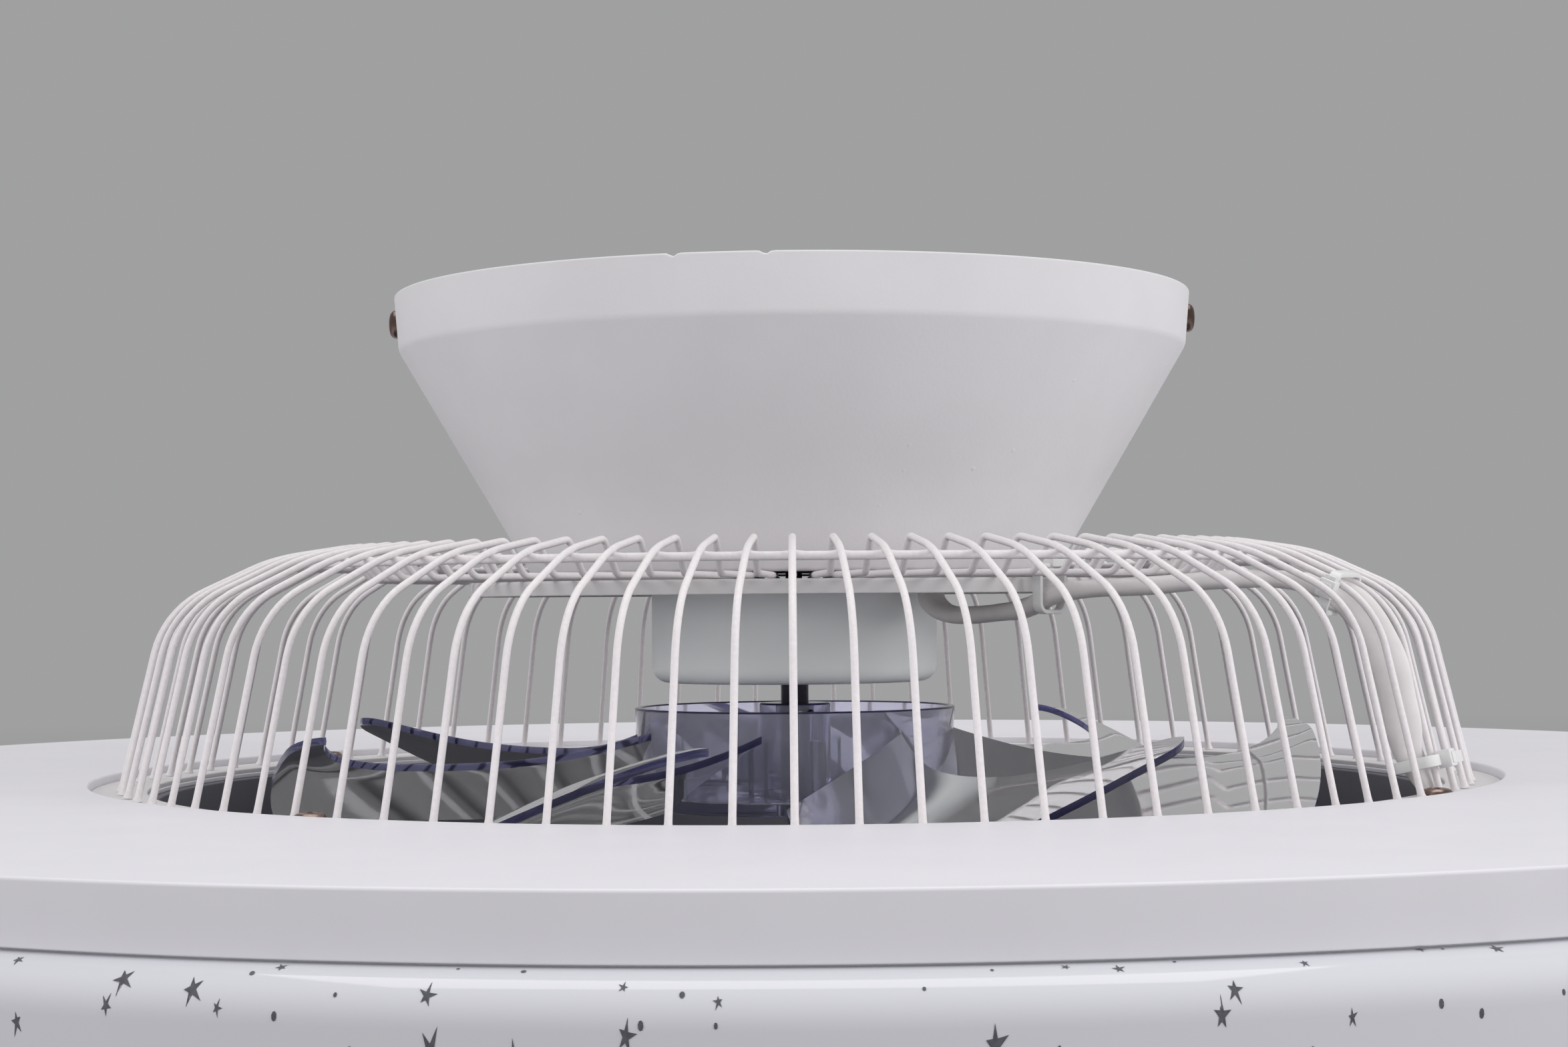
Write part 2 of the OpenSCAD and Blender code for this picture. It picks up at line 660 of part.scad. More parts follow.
module grub_screw() {
    long = boss_r - shaft_d / 2 - 1.2;
    color(DARK) facing(grub_az) translate([shaft_d / 2 + slip, 0, grub_z]) rotate([0, 90, 0]) difference() {
        cylinder(d = grub_d, h = long, $fn = 32);
        translate([0, 0, long - 1]) cylinder(d = grub_d * 0.5, h = 2, $fn = 6);
    }
}

module wheel_washer() {
    color(STEEL) translate([0, 0, hub_floor - seat - washer_t]) difference() {
        cylinder(d = shaft_d + 7, h = washer_t);
        translate([0, 0, -1]) cylinder(d = M4[0] + 0.4, h = washer_t + 2, $fn = 32);
    }
}

module wheel_screw() {
    color(STEEL) translate([0, 0, hub_floor - 2 * seat - washer_t]) rotate([180, 0, 0]) pan_screw(M4, 8);
}

// ---- light ring ---------------------------------------------------------

rim_bottom = -plate_drop - rim_h;
wall_r = opening_r - 1;
wall_bottom = -lamp_drop + 7;

module lamp_chassis() {
    round = 1.5;
    color(WHITE) difference() {
        rotate_extrude($fn = 144) union() {
            polygon([[opening_r - 0.4, chassis_under], [recess_r + sheet, chassis_under],
                [recess_r + sheet, -plate_drop - sheet], [rim_r - sheet, -plate_drop - sheet],
                [rim_r - sheet, rim_bottom], [rim_r, rim_bottom], [rim_r, -plate_drop - round],
                [rim_r - round * 0.3, -plate_drop - round * 0.3], [rim_r - round, -plate_drop],
                [recess_r, -plate_drop], [recess_r, chassis_seat], [opening_r - 0.4, chassis_seat]]);
        }
        flange_screw_places() translate([0, 0, chassis_under - 1]) cylinder(d = M4[0] + 0.4, h = sheet + 2, $fn = 32);
        sleeve_slot_cut(chassis_under - 1, sheet + 2);
    }
}

// dark sleeve round the fan opening, with a top flange under the chassis seat
// and a foot that carries the guard
module inner_wall() {
    top = chassis_under;
    foot_in = wall_r - 8;
    color(DARK) difference() {
        rotate_extrude($fn = 144) polygon([[wall_r - sheet, top], [recess_r - 2, top], [recess_r - 2, top - sheet],
            [wall_r, top - sheet], [wall_r, wall_bottom], [foot_in, wall_bottom], [foot_in, wall_bottom + sheet],
            [wall_r - sheet, wall_bottom + sheet]]);
        flange_screw_places() translate([0, 0, top - sheet - 1]) cylinder(d = M4[0] + 2 * slip, h = sheet + 2, $fn = 32);
        guard_screw_places() translate([0, 0, wall_bottom - 1]) cylinder(d = M3[0] + 2 * slip, h = sheet + 2, $fn = 32);
        sleeve_slot_cut(top - sheet - 1, sheet + 2);
    }
}

// The diffuser stands inside the metal rim and bulges out below it; clips hold
// its neck from inside.
neck_r = rim_r - sheet - room;
hook_r = neck_r - diffuser_wall - room;
clip_reach = 9;
// the board takes the outer part of the channel, the driver the inner part
channel_in = recess_r + sheet;
driver_share = 0.37;
board_in = channel_in + driver_share * (hook_r - channel_in);
board_out = hook_r - clip_reach - 1;
board_t = 1.6;
board_top = -plate_drop - sheet;
module led_board() {
    color([0.95, 0.95, 0.9]) rotate_extrude($fn = 144)
        translate([board_in, board_top - board_t]) square([board_out - board_in, board_t]);
}

chip = 4;
chip_t = 0.8;
chips_per_row = 36;
// places of the two rows, as shares of the board's width
chip_rows = [0.3, 0.76];
module led_chips() {
    color([0.95, 0.9, 0.4]) for (row = [0:1], i = [0:chips_per_row - 1])
        rotate((i + row / 2) * 360 / chips_per_row)
            translate([board_in + chip_rows[row] * (board_out - board_in), 0, board_top - board_t - chip_t / 2])
                cube([chip, chip, chip_t], center = true);
}

driver_size = [26, 70, 16];
driver_r = channel_in + driver_size[0] / 2 + 1;
driver_az = 205;
module lamp_driver() {
    color([0.85, 0.85, 0.85]) facing(driver_az) translate([driver_r, 0, board_top - driver_size[2]])
        union() {
            rounded_box(driver_size, 3);
            for (y = [-1, 1]) translate([0, y * (driver_size[1] / 2 + 3), driver_size[2] - 1.5])
                rounded_box([10, 10, 1.5], 2);
        }
}

shoulder_z = rim_bottom - 0.4;
belly_r = rim_r + bulge;
lip_r = wall_r + room;
lip_top = -lamp_drop + 22;
draft = 2.5;
inner_edge_r = 10;

// outer face of the diffuser, grown inwards by inset
module diffuser_outline(inset) {
    arc_r = bulge + 0.5;
    big = lower_edge_r;
    small = inner_edge_r;
    steps = 12;
    bottom = -lamp_drop + inset;
    polygon(concat(
        [[neck_r - inset, shoulder_z + 7 + (inset > 0 ? 1 : 0)], [neck_r - inset, shoulder_z - inset]],
        [for (i = [0:steps]) let (a = 90 - 90 * i / steps)
            [rim_r - 0.5 + (arc_r - inset) * cos(a), shoulder_z - arc_r + (arc_r - inset) * sin(a)]],
        [for (i = [0:steps]) let (a = -90 * i / steps)
            [belly_r - draft - big + (big - inset) * cos(a), -lamp_drop + big + (big - inset) * sin(a)]],
        [for (i = [0:steps]) let (a = -90 - 90 * i / steps)
            [lip_r + small + (small - inset) * cos(a), -lamp_drop + small + (small - inset) * sin(a)]],
        [[lip_r + inset, lip_top + (inset > 0 ? 1 : 0)]],
        inset > 0 ? [[lip_r + inset, shoulder_z + 8]] : [[lip_r, lip_top], [lip_r + diffuser_wall, lip_top],
            [lip_r + diffuser_wall, shoulder_z + 7]]));
}

module diffuser() {
    color([0.96, 0.96, 0.97, 0.9]) rotate_extrude($fn = 144) difference() {
        diffuser_outline(0);
        diffuser_outline(diffuser_wall);
    }
}

clip_count = 6;
clip_w = 12;
clip_t = 1;
module diffuser_clips() {
    // each hooks the diffuser's neck from inside, under the chassis
    end_z = shoulder_z + 2;
    color(STEEL) for (i = [0:clip_count - 1]) facing(15 + i * 360 / clip_count)
        translate([0, -clip_w / 2, 0]) rotate([90, 0, 0]) mirror([0, 0, 1]) linear_extrude(clip_w)
            polygon([[hook_r - clip_reach, board_top], [hook_r, board_top], [hook_r, end_z],
                [hook_r - clip_t, end_z], [hook_r - clip_t, board_top - clip_t],
                [hook_r - clip_reach, board_top - clip_t]]);
}

guard_h = 4;
guard_rings = 6;
guard_ribs = 14;
guard_hub_r = 32;
guard_bar = 2.4;
module guard_screw_places() { for (i = [0:3]) rotate(45 + i * 90) translate([wall_r - 5, 0, 0]) children(); }

// moulded guard under the fan: rings on radial ribs round a centre disc
module bottom_guard() {
    outer = wall_r;
    rim_w = 9;
    top = wall_bottom - seat;
    gap = (outer - rim_w - guard_hub_r) / (guard_rings + 1);
    color(WHITE) translate([0, 0, top - guard_h]) difference() {
        union() {
            difference() {
                cylinder(r = outer, h = guard_h, $fn = 144);
                translate([0, 0, -1]) cylinder(r = outer - rim_w, h = guard_h + 2, $fn = 144);
            }
            for (i = [1:guard_rings]) difference() {
                cylinder(r = guard_hub_r + i * gap + guard_bar / 2, h = guard_h * 0.75);
                translate([0, 0, -1]) cylinder(r = guard_hub_r + i * gap - guard_bar / 2, h = guard_h + 2);
            }
            cylinder(r = guard_hub_r, h = guard_h);
            for (i = [0:guard_ribs - 1]) rotate(i * 360 / guard_ribs)
                translate([guard_hub_r - 2, -guard_bar / 2, 0.5])
                    cube([outer - rim_w - guard_hub_r + 4, guard_bar, guard_h - 1]);
        }
        guard_screw_places() translate([0, 0, -1]) cylinder(d = M3[0] + 0.4, h = guard_h + 2, $fn = 32);
    }
}

module guard_screws() {
    color(STEEL) guard_screw_places() translate([0, 0, wall_bottom - seat - guard_h]) rotate([180, 0, 0])
        pan_screw(M3, guard_h + sheet + 2);
}

// ---- wiring -------------------------------------------------------------

// route of the flat sleeve, chosen by hand: [radius, azimuth, height, turn of its
// broad side from lying across the cage's radius, pinch of its width at a tie]
sleeve_route = [[43.5, 50, -66, 0, 1], [43.5, 50, -73, 0, 1], [44.2, 49.5, -76.5, 0, 1],
    [47.5, 48.6, -79, 0, 1], [52.5, 47.4, -80.1, 0, 1], [58, 46.3, -80.2, 0, 1], [64, 45.4, -79.9, 0, 1],
    [70, 44.5, -79.5, 0, 1], [76, 43.6, -79, 0, 0.95], [82, 43.2, -77.6, 0, 0.82],
    [86, 43.3, -75.9, 0, 0.75], [91, 44.2, -74.7, 0, 0.82], [96, 45.8, -74.2, 0, 0.95],
    [102, 47.6, -73.9, 0, 1], [108, 49.6, -73.6, 0, 1], [114, 51.6, -73, 0, 1], [120, 53.6, -72.5, 0, 1],
    [126, 55.4, -72.3, 0, 1], [131, 56.5, -72.4, 0, 1], [136, 57.3, -73, 15, 1],
    [140.5, 57.7, -74, 40, 0.95], [144.5, 57.86, -75.5, 60, 0.9], [148.4, 57.86, -78.2, 70, 0.95],
    [152, 57.86, -82.3, 70, 1], [154.7, 57.86, -87, 70, 1], [156.6, 57.86, -92, 70, 1],
    [157.8, 57.95, -97, 70, 1], [158.6, 58.15, -102, 65, 1], [159, 58.6, -107, 55, 0.95],
    [159.2, 59.3, -111.5, 40, 0.85], [160.7, 60.2, -115.5, 20, 0.8], [162.2, 60.8, -119, 5, 0.8],
    [162.6, 60.9, -122, 0, 0.8], [162.6, 60.9, -127, 0, 0.8]];
sleeve_sides = 12;

function route_point(i) = concat(polar(sleeve_route[i][0], sleeve_route[i][1]), [sleeve_route[i][2]]);
function route_heading(i) = unit(route_point(min(len(sleeve_route) - 1, i + 1)) - route_point(max(0, i - 1)));
// direction of the sleeve's broad side
function across(i) = let (a = sleeve_route[i][1] - sleeve_route[i][3]) [cos(a), sin(a), 0];
function sleeve_ring(i) = let (
        t = route_heading(i),
        w = unit(across(i) - t * (across(i) * t)),
        n = cross(t, w))
    [for (k = [0:sleeve_sides - 1]) let (c = cos(k * 360 / sleeve_sides), s = sin(k * 360 / sleeve_sides))
        route_point(i) + w * (sleeve_w * sleeve_route[i][4] / 2 * sign(c) * pow(abs(c), 0.8))
            + n * (sleeve_t / 2 * sign(s) * pow(abs(s), 0.8))];

module wiring_sleeve() {
    last = len(sleeve_route) - 1;
    m = sleeve_sides;
    points = [for (i = [0:last]) each sleeve_ring(i)];
    walls = [for (i = [0:last - 1], k = [0:m - 1], half = [0, 1]) let (
            a = i * m + k, b = i * m + (k + 1) % m, c = (i + 1) * m + (k + 1) % m, d = (i + 1) * m + k)
        half == 0 ? [a, b, c] : [a, c, d]];
    caps = [[for (k = [m - 1:-1:0]) k], [for (k = [0:m - 1]) last * m + k]];
    color([0.93, 0.93, 0.92]) polyhedron(points, concat(walls, caps));
}

// cable tie: a band with its locking head and a short tail, on the band's outward
// side (0) or on its near side (1)
tie_w = 2.6;
tie_t = 1;
tie_head = 3.4;
tie_tail = [8, 1.2];
module tie(inner, side) {
    corner = 1.6;
    out = side == 0 ? inner[1] / 2 : inner[0] / 2;
    translate([0, 0, -tie_w / 2]) difference() {
        rounded_box([inner[0] + 2 * tie_t, inner[1] + 2 * tie_t, tie_w], corner + tie_t);
        translate([0, 0, -1]) rounded_box([inner[0], inner[1], tie_w + 2], corner);
    }
    rotate(-90 * side) {
        translate([-1, -out - tie_head, -tie_w / 2 - 0.7]) cube([4.2, tie_head, tie_w + 1.4]);
        translate([3, -out - tie_head + 1, -tie_w / 2]) cube([tie_tail[side], tie_t, tie_w]);
    }
}
// lean turns the band from lying flat (0) to standing upright (-90)
module tie_at(r, az, z, lean, inner, side) {
    at(r, az, z) rotate([0, 0, az]) rotate([lean, 0, 0]) tie(inner, side);
}
// ties: [route point, shift outwards, shift round, shift up, lean, inner size, side of the head]
ties = [[10, 0, 0, 1.8, -90, [sleeve_w * 0.75 + 1, 9.7], 0],
    [21, 0.5, 0, -0.15, -67, [13.2, 8.2], 1],
    [30, 0.3, -0.3, 1.4, -13.3, [8.7, 8.9], 0]];
module cable_ties() {
    color([0.93, 0.93, 0.93, 0.8]) for (t = ties) {
        held = sleeve_route[t[0]];
        tie_at(held[0] + t[1], held[1] + t[2], held[2] + t[3], t[4], t[5], t[6]);
    }
}

// ---- one line a node ----------------------------------------------------

ceiling_bracket();
canopy();
canopy_screws();
terminal_block();
earth_screw();
receiver_box();
receiver_lid();
pan_screws();
pan_nuts();
cage_pan();
cage_wires_front();
cage_wires_right();
cage_wires_back();
cage_wires_left();
cage_hoop();
cage_flange();
flange_screws();
motor_housing();
motor_base();
motor_base_screws();
motor_stator();
motor_coils();
bearing_upper();
bearing_lower();
motor_magnets();
motor_shaft();
fan_wheel();
grub_screw();
wheel_washer();
wheel_screw();
lamp_chassis();
inner_wall();
led_board();
led_chips();
lamp_driver();
diffuser();
diffuser_clips();
bottom_guard();
guard_screws();
wiring_sleeve();
cable_ties();
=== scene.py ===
"""Dresses a low-profile ceiling fan: cage, clear bladed wheel and light ring.

Lengths in the code are millimetres and turn into metres as a mesh is made. Azimuths
are degrees, counted from the front (-Y) towards +X. Heights are negative, because
the origin is on the ceiling. An outline is a list of (x, y, corner radius), where x
is the radius and y the height of a turned piece.
"""

from __future__ import annotations

import logging
import math
from dataclasses import dataclass, field
from enum import Enum

import bmesh
import bpy
import numpy as np
from mathutils import Matrix, Vector

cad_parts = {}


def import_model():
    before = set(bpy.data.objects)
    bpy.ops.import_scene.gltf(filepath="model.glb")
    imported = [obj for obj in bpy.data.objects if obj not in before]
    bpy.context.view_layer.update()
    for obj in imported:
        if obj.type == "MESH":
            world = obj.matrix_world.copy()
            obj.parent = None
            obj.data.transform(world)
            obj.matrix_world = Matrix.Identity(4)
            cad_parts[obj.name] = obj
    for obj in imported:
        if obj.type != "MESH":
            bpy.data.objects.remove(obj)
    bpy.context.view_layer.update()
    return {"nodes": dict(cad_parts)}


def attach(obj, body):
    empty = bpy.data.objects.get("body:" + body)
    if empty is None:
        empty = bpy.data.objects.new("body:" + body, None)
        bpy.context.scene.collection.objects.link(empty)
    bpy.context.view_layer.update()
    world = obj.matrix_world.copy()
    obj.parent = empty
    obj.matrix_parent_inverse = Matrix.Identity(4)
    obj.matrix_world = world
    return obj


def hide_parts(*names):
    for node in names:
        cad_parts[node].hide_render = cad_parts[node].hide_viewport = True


LOG = logging.getLogger("ceiling_fan")
MM = 0.001
FULL_TURN = 2 * math.pi
CRISP = 35.0

Colour = tuple[float, float, float]
Spot = tuple[float, float, float]
Corner = tuple[float, float, float]


class Body(Enum):
    """The two bodies of the fan."""

    FIXED = "fixed"
    ROTOR = "rotor"


class Slot(Enum):
    """Names of material slots, which nothing in the script gives to a piece."""

    WHITE_PAINT = "white_paint"
    CANOPY_SCREW = "screw_steel"
    CAGE_PAINT = "cage_paint"
    FLANGE_SCREW = "screw_copper"
    MOTOR_PAINT = "motor_paint"
    SHAFT = "shaft_steel"
    CLEAR_PLASTIC = "clear_plastic"
    WELL_PAINT = "inner_wall_paint"
    OPAL = "opal_acrylic"
    SLEEVE = "sleeve_rubber"
    NYLON = "tie_nylon"


class WheelSkin(Enum):
    """The clear wheel's finishes, numbered by their place in its list."""

    BLADE = 0
    # Cut edges and the drum's rim, in the dark violet finish that paints their shade.
    PAINTED_SHADE_EDGE = 1
    DRUM = 2


# ---- shapes ---------------------------------------------------------------


@dataclass
class Shape:
    """Points and faces of a mesh, in millimetres.

    Attributes:
        points: Array of n by 3 coordinates.
        faces: Index lists, one a face.
        marks: Material index of each face, or nothing for all 0.
    """

    points: np.ndarray
    faces: list[list[int]]
    marks: list[int] = field(default_factory=list)

    def turned(self, azimuth: float) -> Shape:
        """The shape turned about the fan's axis by an azimuth."""
        return self.moved(Matrix.Rotation(math.radians(azimuth), 4, "Z"))

    def moved(self, matrix: Matrix) -> Shape:
        """The shape put through a 4 by 4 matrix in millimetres."""
        m = np.array(matrix)
        return Shape(self.points @ m[:3, :3].T + m[:3, 3], self.faces, self.marks)

    def outward(self) -> Shape:
        """Turns the faces of the closed shape outwards, judged by its signed volume.

        Returns:
            The same shape.
        """
        fans = [(f[0], f[k], f[k + 1]) for f in self.faces for k in range(1, len(f) - 1)]
        corners = self.points[np.array(fans)]
        volume = np.einsum("ij,ij->i", corners[:, 0], np.cross(corners[:, 1], corners[:, 2])).sum()
        if volume < 0:
            self.faces = [f[::-1] for f in self.faces]
        return self


def joined(shapes: list[Shape]) -> Shape:
    """Puts several shapes into one, without merging anything.

    Args:
        shapes: The shapes, at least one.

    Returns:
        One shape with all their points, faces and marks.
    """
    starts = np.cumsum([0] + [len(s.points) for s in shapes])
    points = np.concatenate([s.points for s in shapes])
    faces = [[i + int(k) for i in f] for s, k in zip(shapes, starts) for f in s.faces]
    marks = [m for s in shapes for m in (s.marks or [0] * len(s.faces))]
    return Shape(points, faces, marks)


def grid_faces(rows: int, columns: int, wrap_rows: bool, wrap_columns: bool) -> list[list[int]]:
    """Quads of a grid of points that are numbered row by row.

    Args:
        rows: Number of rows.
        columns: Points in a row.
        wrap_rows: Whether the last row joins the first.
        wrap_columns: Whether each row is a closed loop.

    Returns:
        Index lists of four.
    """
    i = np.arange(rows if wrap_rows else rows - 1)
    j = np.arange(columns if wrap_columns else columns - 1)
    i, j = (a.ravel() for a in np.meshgrid(i, j, indexing="ij"))
    ni, nj = (i + 1) % rows, (j + 1) % columns
    quads = np.stack([i * columns + j, i * columns + nj, ni * columns + nj, ni * columns + j], 1)
    return quads.tolist()


def unit(vectors: np.ndarray) -> np.ndarray:
    """Rows of an array brought to length 1."""
    return vectors / np.linalg.norm(vectors, axis=1)[:, None]


def lengths_along(line: np.ndarray) -> np.ndarray:
    """The length of a line up to each of its points."""
    return np.concatenate([[0], np.cumsum(np.linalg.norm(np.diff(line, axis=0), axis=1))])


def angles(count: int) -> np.ndarray:
    """Evenly spaced angles once round, in radians, the last short of the first."""
    return np.linspace(0, FULL_TURN, count, endpoint=False)


def polar(r: float, azimuth: float, z: float) -> np.ndarray:
    """The point at a radius, azimuth and height."""
    a = math.radians(azimuth)
    return np.array([r * math.sin(a), -r * math.cos(a), z])


def rounded(corners: list[Corner], closed: bool = True, steps: int = 6) -> np.ndarray:
    """Rounds the corners of an outline by arcs.

    The arc touches both sides at the distance radius / tan(half the angle between
    them) from the corner.

    Args:
        corners: The outline's (x, y, radius); radius 0 keeps a corner sharp.
        closed: Whether the last corner joins the first.
        steps: Arc points a corner, less one.

    Returns:
        Array of n by 2 points.
    """
    out: list[np.ndarray] = []
    count = len(corners)
    for k, (x, y, radius) in enumerate(corners):
        here = np.array([x, y])
        if radius <= 0 or (not closed and k in (0, count - 1)):
            out.append(here[None])
            continue
        before = np.array(corners[k - 1][:2]) - here
        after = np.array(corners[(k + 1) % count][:2]) - here
        before, after = before / np.linalg.norm(before), after / np.linalg.norm(after)
        half = math.acos(max(-1.0, min(1.0, float(before @ after)))) / 2
        cut = radius / math.tan(half)
        middle = here + (before + after) / np.linalg.norm(before + after) * radius / math.sin(half)
        first, last = here + before * cut - middle, here + after * cut - middle
        sweep = math.atan2(first[0] * last[1] - first[1] * last[0], float(first @ last))
        t = np.linspace(0, sweep, steps + 1)[:, None]
        side = np.array([-first[1], first[0]])
        out.append(middle + first * np.cos(t) + side * np.sin(t))
    return np.concatenate(out)


def revolved(outline: np.ndarray, segments: int) -> Shape:
    """A closed (radius, height) outline turned once round the axis.

    Args:
        outline: Array of n by 2 points.
        segments: Number of steps round the axis.

    Returns:
        The closed shape, facing outwards.
    """
    angle = angles(segments)[:, None]
    r, z = outline[:, 0], outline[:, 1]
    points = np.stack([r * np.sin(angle), -r * np.cos(angle), z + 0 * angle], 2).reshape(-1, 3)
    return Shape(points, grid_faces(segments, len(outline), True, True)).outward()


def swept(path: np.ndarray, across: np.ndarray, up: np.ndarray, section: np.ndarray) -> Shape:
    """A section carried along a path, with flat ends.

    Point = path + across * section x + up * section y.

    Args:
        path: n by 3 centre line.
        across: n by 3 unit vectors of the section's x.
        up: n by 3 unit vectors of the section's y.
        section: n by m by 2 outline of the section at each path point.

    Returns:
        The closed shape, facing outwards.
    """
    rows, columns = section.shape[:2]
    points = path[:, None] + across[:, None] * section[:, :, :1] + up[:, None] * section[:, :, 1:]
    faces = grid_faces(rows, columns, False, True)
    faces.append(list(range(columns))[::-1])
    faces.append(list(range((rows - 1) * columns, rows * columns)))
    return Shape(points.reshape(-1, 3), faces).outward()


def looped(path: np.ndarray, section: np.ndarray) -> Shape:
    """A section carried round a closed flat loop.

    Point = path + outward * section x + (0, 0, 1) * section y, where outward is the
    loop's normal in its plane.

    Args:
        path: n by 2 points of the loop, counter-clockwise.
        section: m by 2 outline of the section.

    Returns:
        The closed shape, facing outwards.
    """
    ahead = unit(np.roll(path, -1, 0) - np.roll(path, 1, 0))
    outward = np.stack([ahead[:, 1], -ahead[:, 0]], 1)
    flat = path[:, None] + outward[:, None] * section[None, :, :1]
    rise = np.broadcast_to(section[None, :, 1:], (*flat.shape[:2], 1))
    points = np.concatenate([flat, rise], 2).reshape(-1, 3)
    return Shape(points, grid_faces(len(path), len(section), True, True)).outward()


def block(low: Spot, high: Spot) -> Shape:
    """A box between two corners.

    Args:
        low: Its lowest corner.
        high: Its highest corner.

    Returns:
        The box, facing outwards.
    """
    x, y, z = zip(low, high)
    points = np.array([[a, b, c] for a in x for b in y for c in z])
    faces = [[0, 1, 3, 2], [4, 6, 7, 5], [0, 4, 5, 1], [2, 3, 7, 6], [0, 2, 6, 4], [1, 5, 7, 3]]
    return Shape(points, faces).outward()


def soft_block(low: Spot, high: Spot, bevel: float) -> Shape:
    """A box between two corners whose edges are rounded by a bevel.

    Args:
        low: Its lowest corner.
        high: Its highest corner.
        bevel: Width of the bevel.

    Returns:
        The box, facing outwards.
    """
    mesh = bmesh.new()
    size = np.array(high) - np.array(low)
    middle = (np.array(high) + np.array(low)) / 2
    bmesh.ops.create_cube(mesh, size=1, matrix=Matrix.Translation(middle) @ Matrix.Diagonal((*size, 1)))
    bmesh.ops.bevel(mesh, geom=mesh.edges[:], offset=bevel, segments=2, profile=0.5, affect="EDGES")
    mesh.verts.index_update()
    points = np.array([v.co for v in mesh.verts])
    faces = [[v.index for v in f.verts] for f in mesh.faces]
    mesh.free()
    return Shape(points, faces).outward()


def cross_head(head_d: float, head_h: float, rings: int = 14, spokes: int = 32) -> Shape:
    """A domed screw head with a cross recess, standing on z = 0.

    Height over the radius is a flattened dome, a quarter of h plus three quarters of
    h * (1 - (r / R) ** 4) ** 0.5. The recess is taken off where either arm of the
    cross covers the point, with soft walls.

    Args:
        head_d: Diameter.
        head_h: Height.
        rings: Rings of points.
        spokes: Points in a ring.

    Returns:
        The closed head.
    """
    radius, recess = head_d / 2, head_h * 0.55
    r = radius * np.sin(np.linspace(0, math.pi / 2, rings))[1:, None]
    a = angles(spokes)[None]
    x, y = r * np.cos(a), r * np.sin(a)
    dome = head_h * (0.25 + 0.75 * np.sqrt(np.clip(1 - (r / radius) ** 4, 0, 1))) + 0 * a
    arm, width, soft = head_d * 0.27, head_d * 0.075, head_d * 0.03

    def inside(along: np.ndarray, off: np.ndarray) -> np.ndarray:
        """How far points lie in one arm of the cross, from 0 outside to 1."""
        return np.clip((arm - abs(along)) / soft, 0, 1) * np.clip((width - abs(off)) / soft, 0, 1)

    z = dome - recess * np.maximum(inside(x, y), inside(y, x))
    top = np.stack([x, y, z], 2).reshape(-1, 3)
    rim = np.stack([x[-1], y[-1], 0 * x[-1]], 1)
    centre = np.array([[0, 0, head_h * 0.45]])
    points = np.concatenate([top, rim, centre])
    faces = grid_faces(rings, spokes, False, True)
    last = len(points) - 1
    faces += [[last, (k + 1) % spokes, k] for k in range(spokes)]
    faces.append([(rings - 1) * spokes + k for k in range(spokes)])
    return Shape(points, faces).outward()


def cross_screw(length: float, head_d: float = 7.2, head_h: float = 2.2, shank_r: float = 1.95) -> Shape:
    """A screw whose head stands on z = 0 and whose shank hangs below it.

    The shank's outline stays a pin's width off the axis, so that it closes without a
    pole.

    Args:
        length: Length of the shank.
        head_d: Diameter of the head.
        head_h: Height of the head.
        shank_r: Radius of the shank.

    Returns:
        Head and shank as one shape.
    """
    pin, sunk = 0.4, 0.2
    outline = [(pin, sunk, 0), (shank_r, sunk, 0), (shank_r, -length, 0.4), (pin, -length, 0)]
    return joined([cross_head(head_d, head_h), revolved(rounded(outline), 24)])


# ---- finishes -------------------------------------------------------------


def linear(colour: Colour) -> tuple[float, float, float, float]:
    """An 8-bit display colour as Blender's linear one, by the sRGB curve.

    Args:
        colour: Red, green and blue from 0 to 255.

    Returns:
        Linear red, green and blue from 0 to 1, and alpha 1.
    """
    c = np.array(colour) / 255
    low, high = c / 12.92, ((c + 0.055) / 1.055) ** 2.4
    return (*np.where(c <= 0.04045, low, high).tolist(), 1.0)


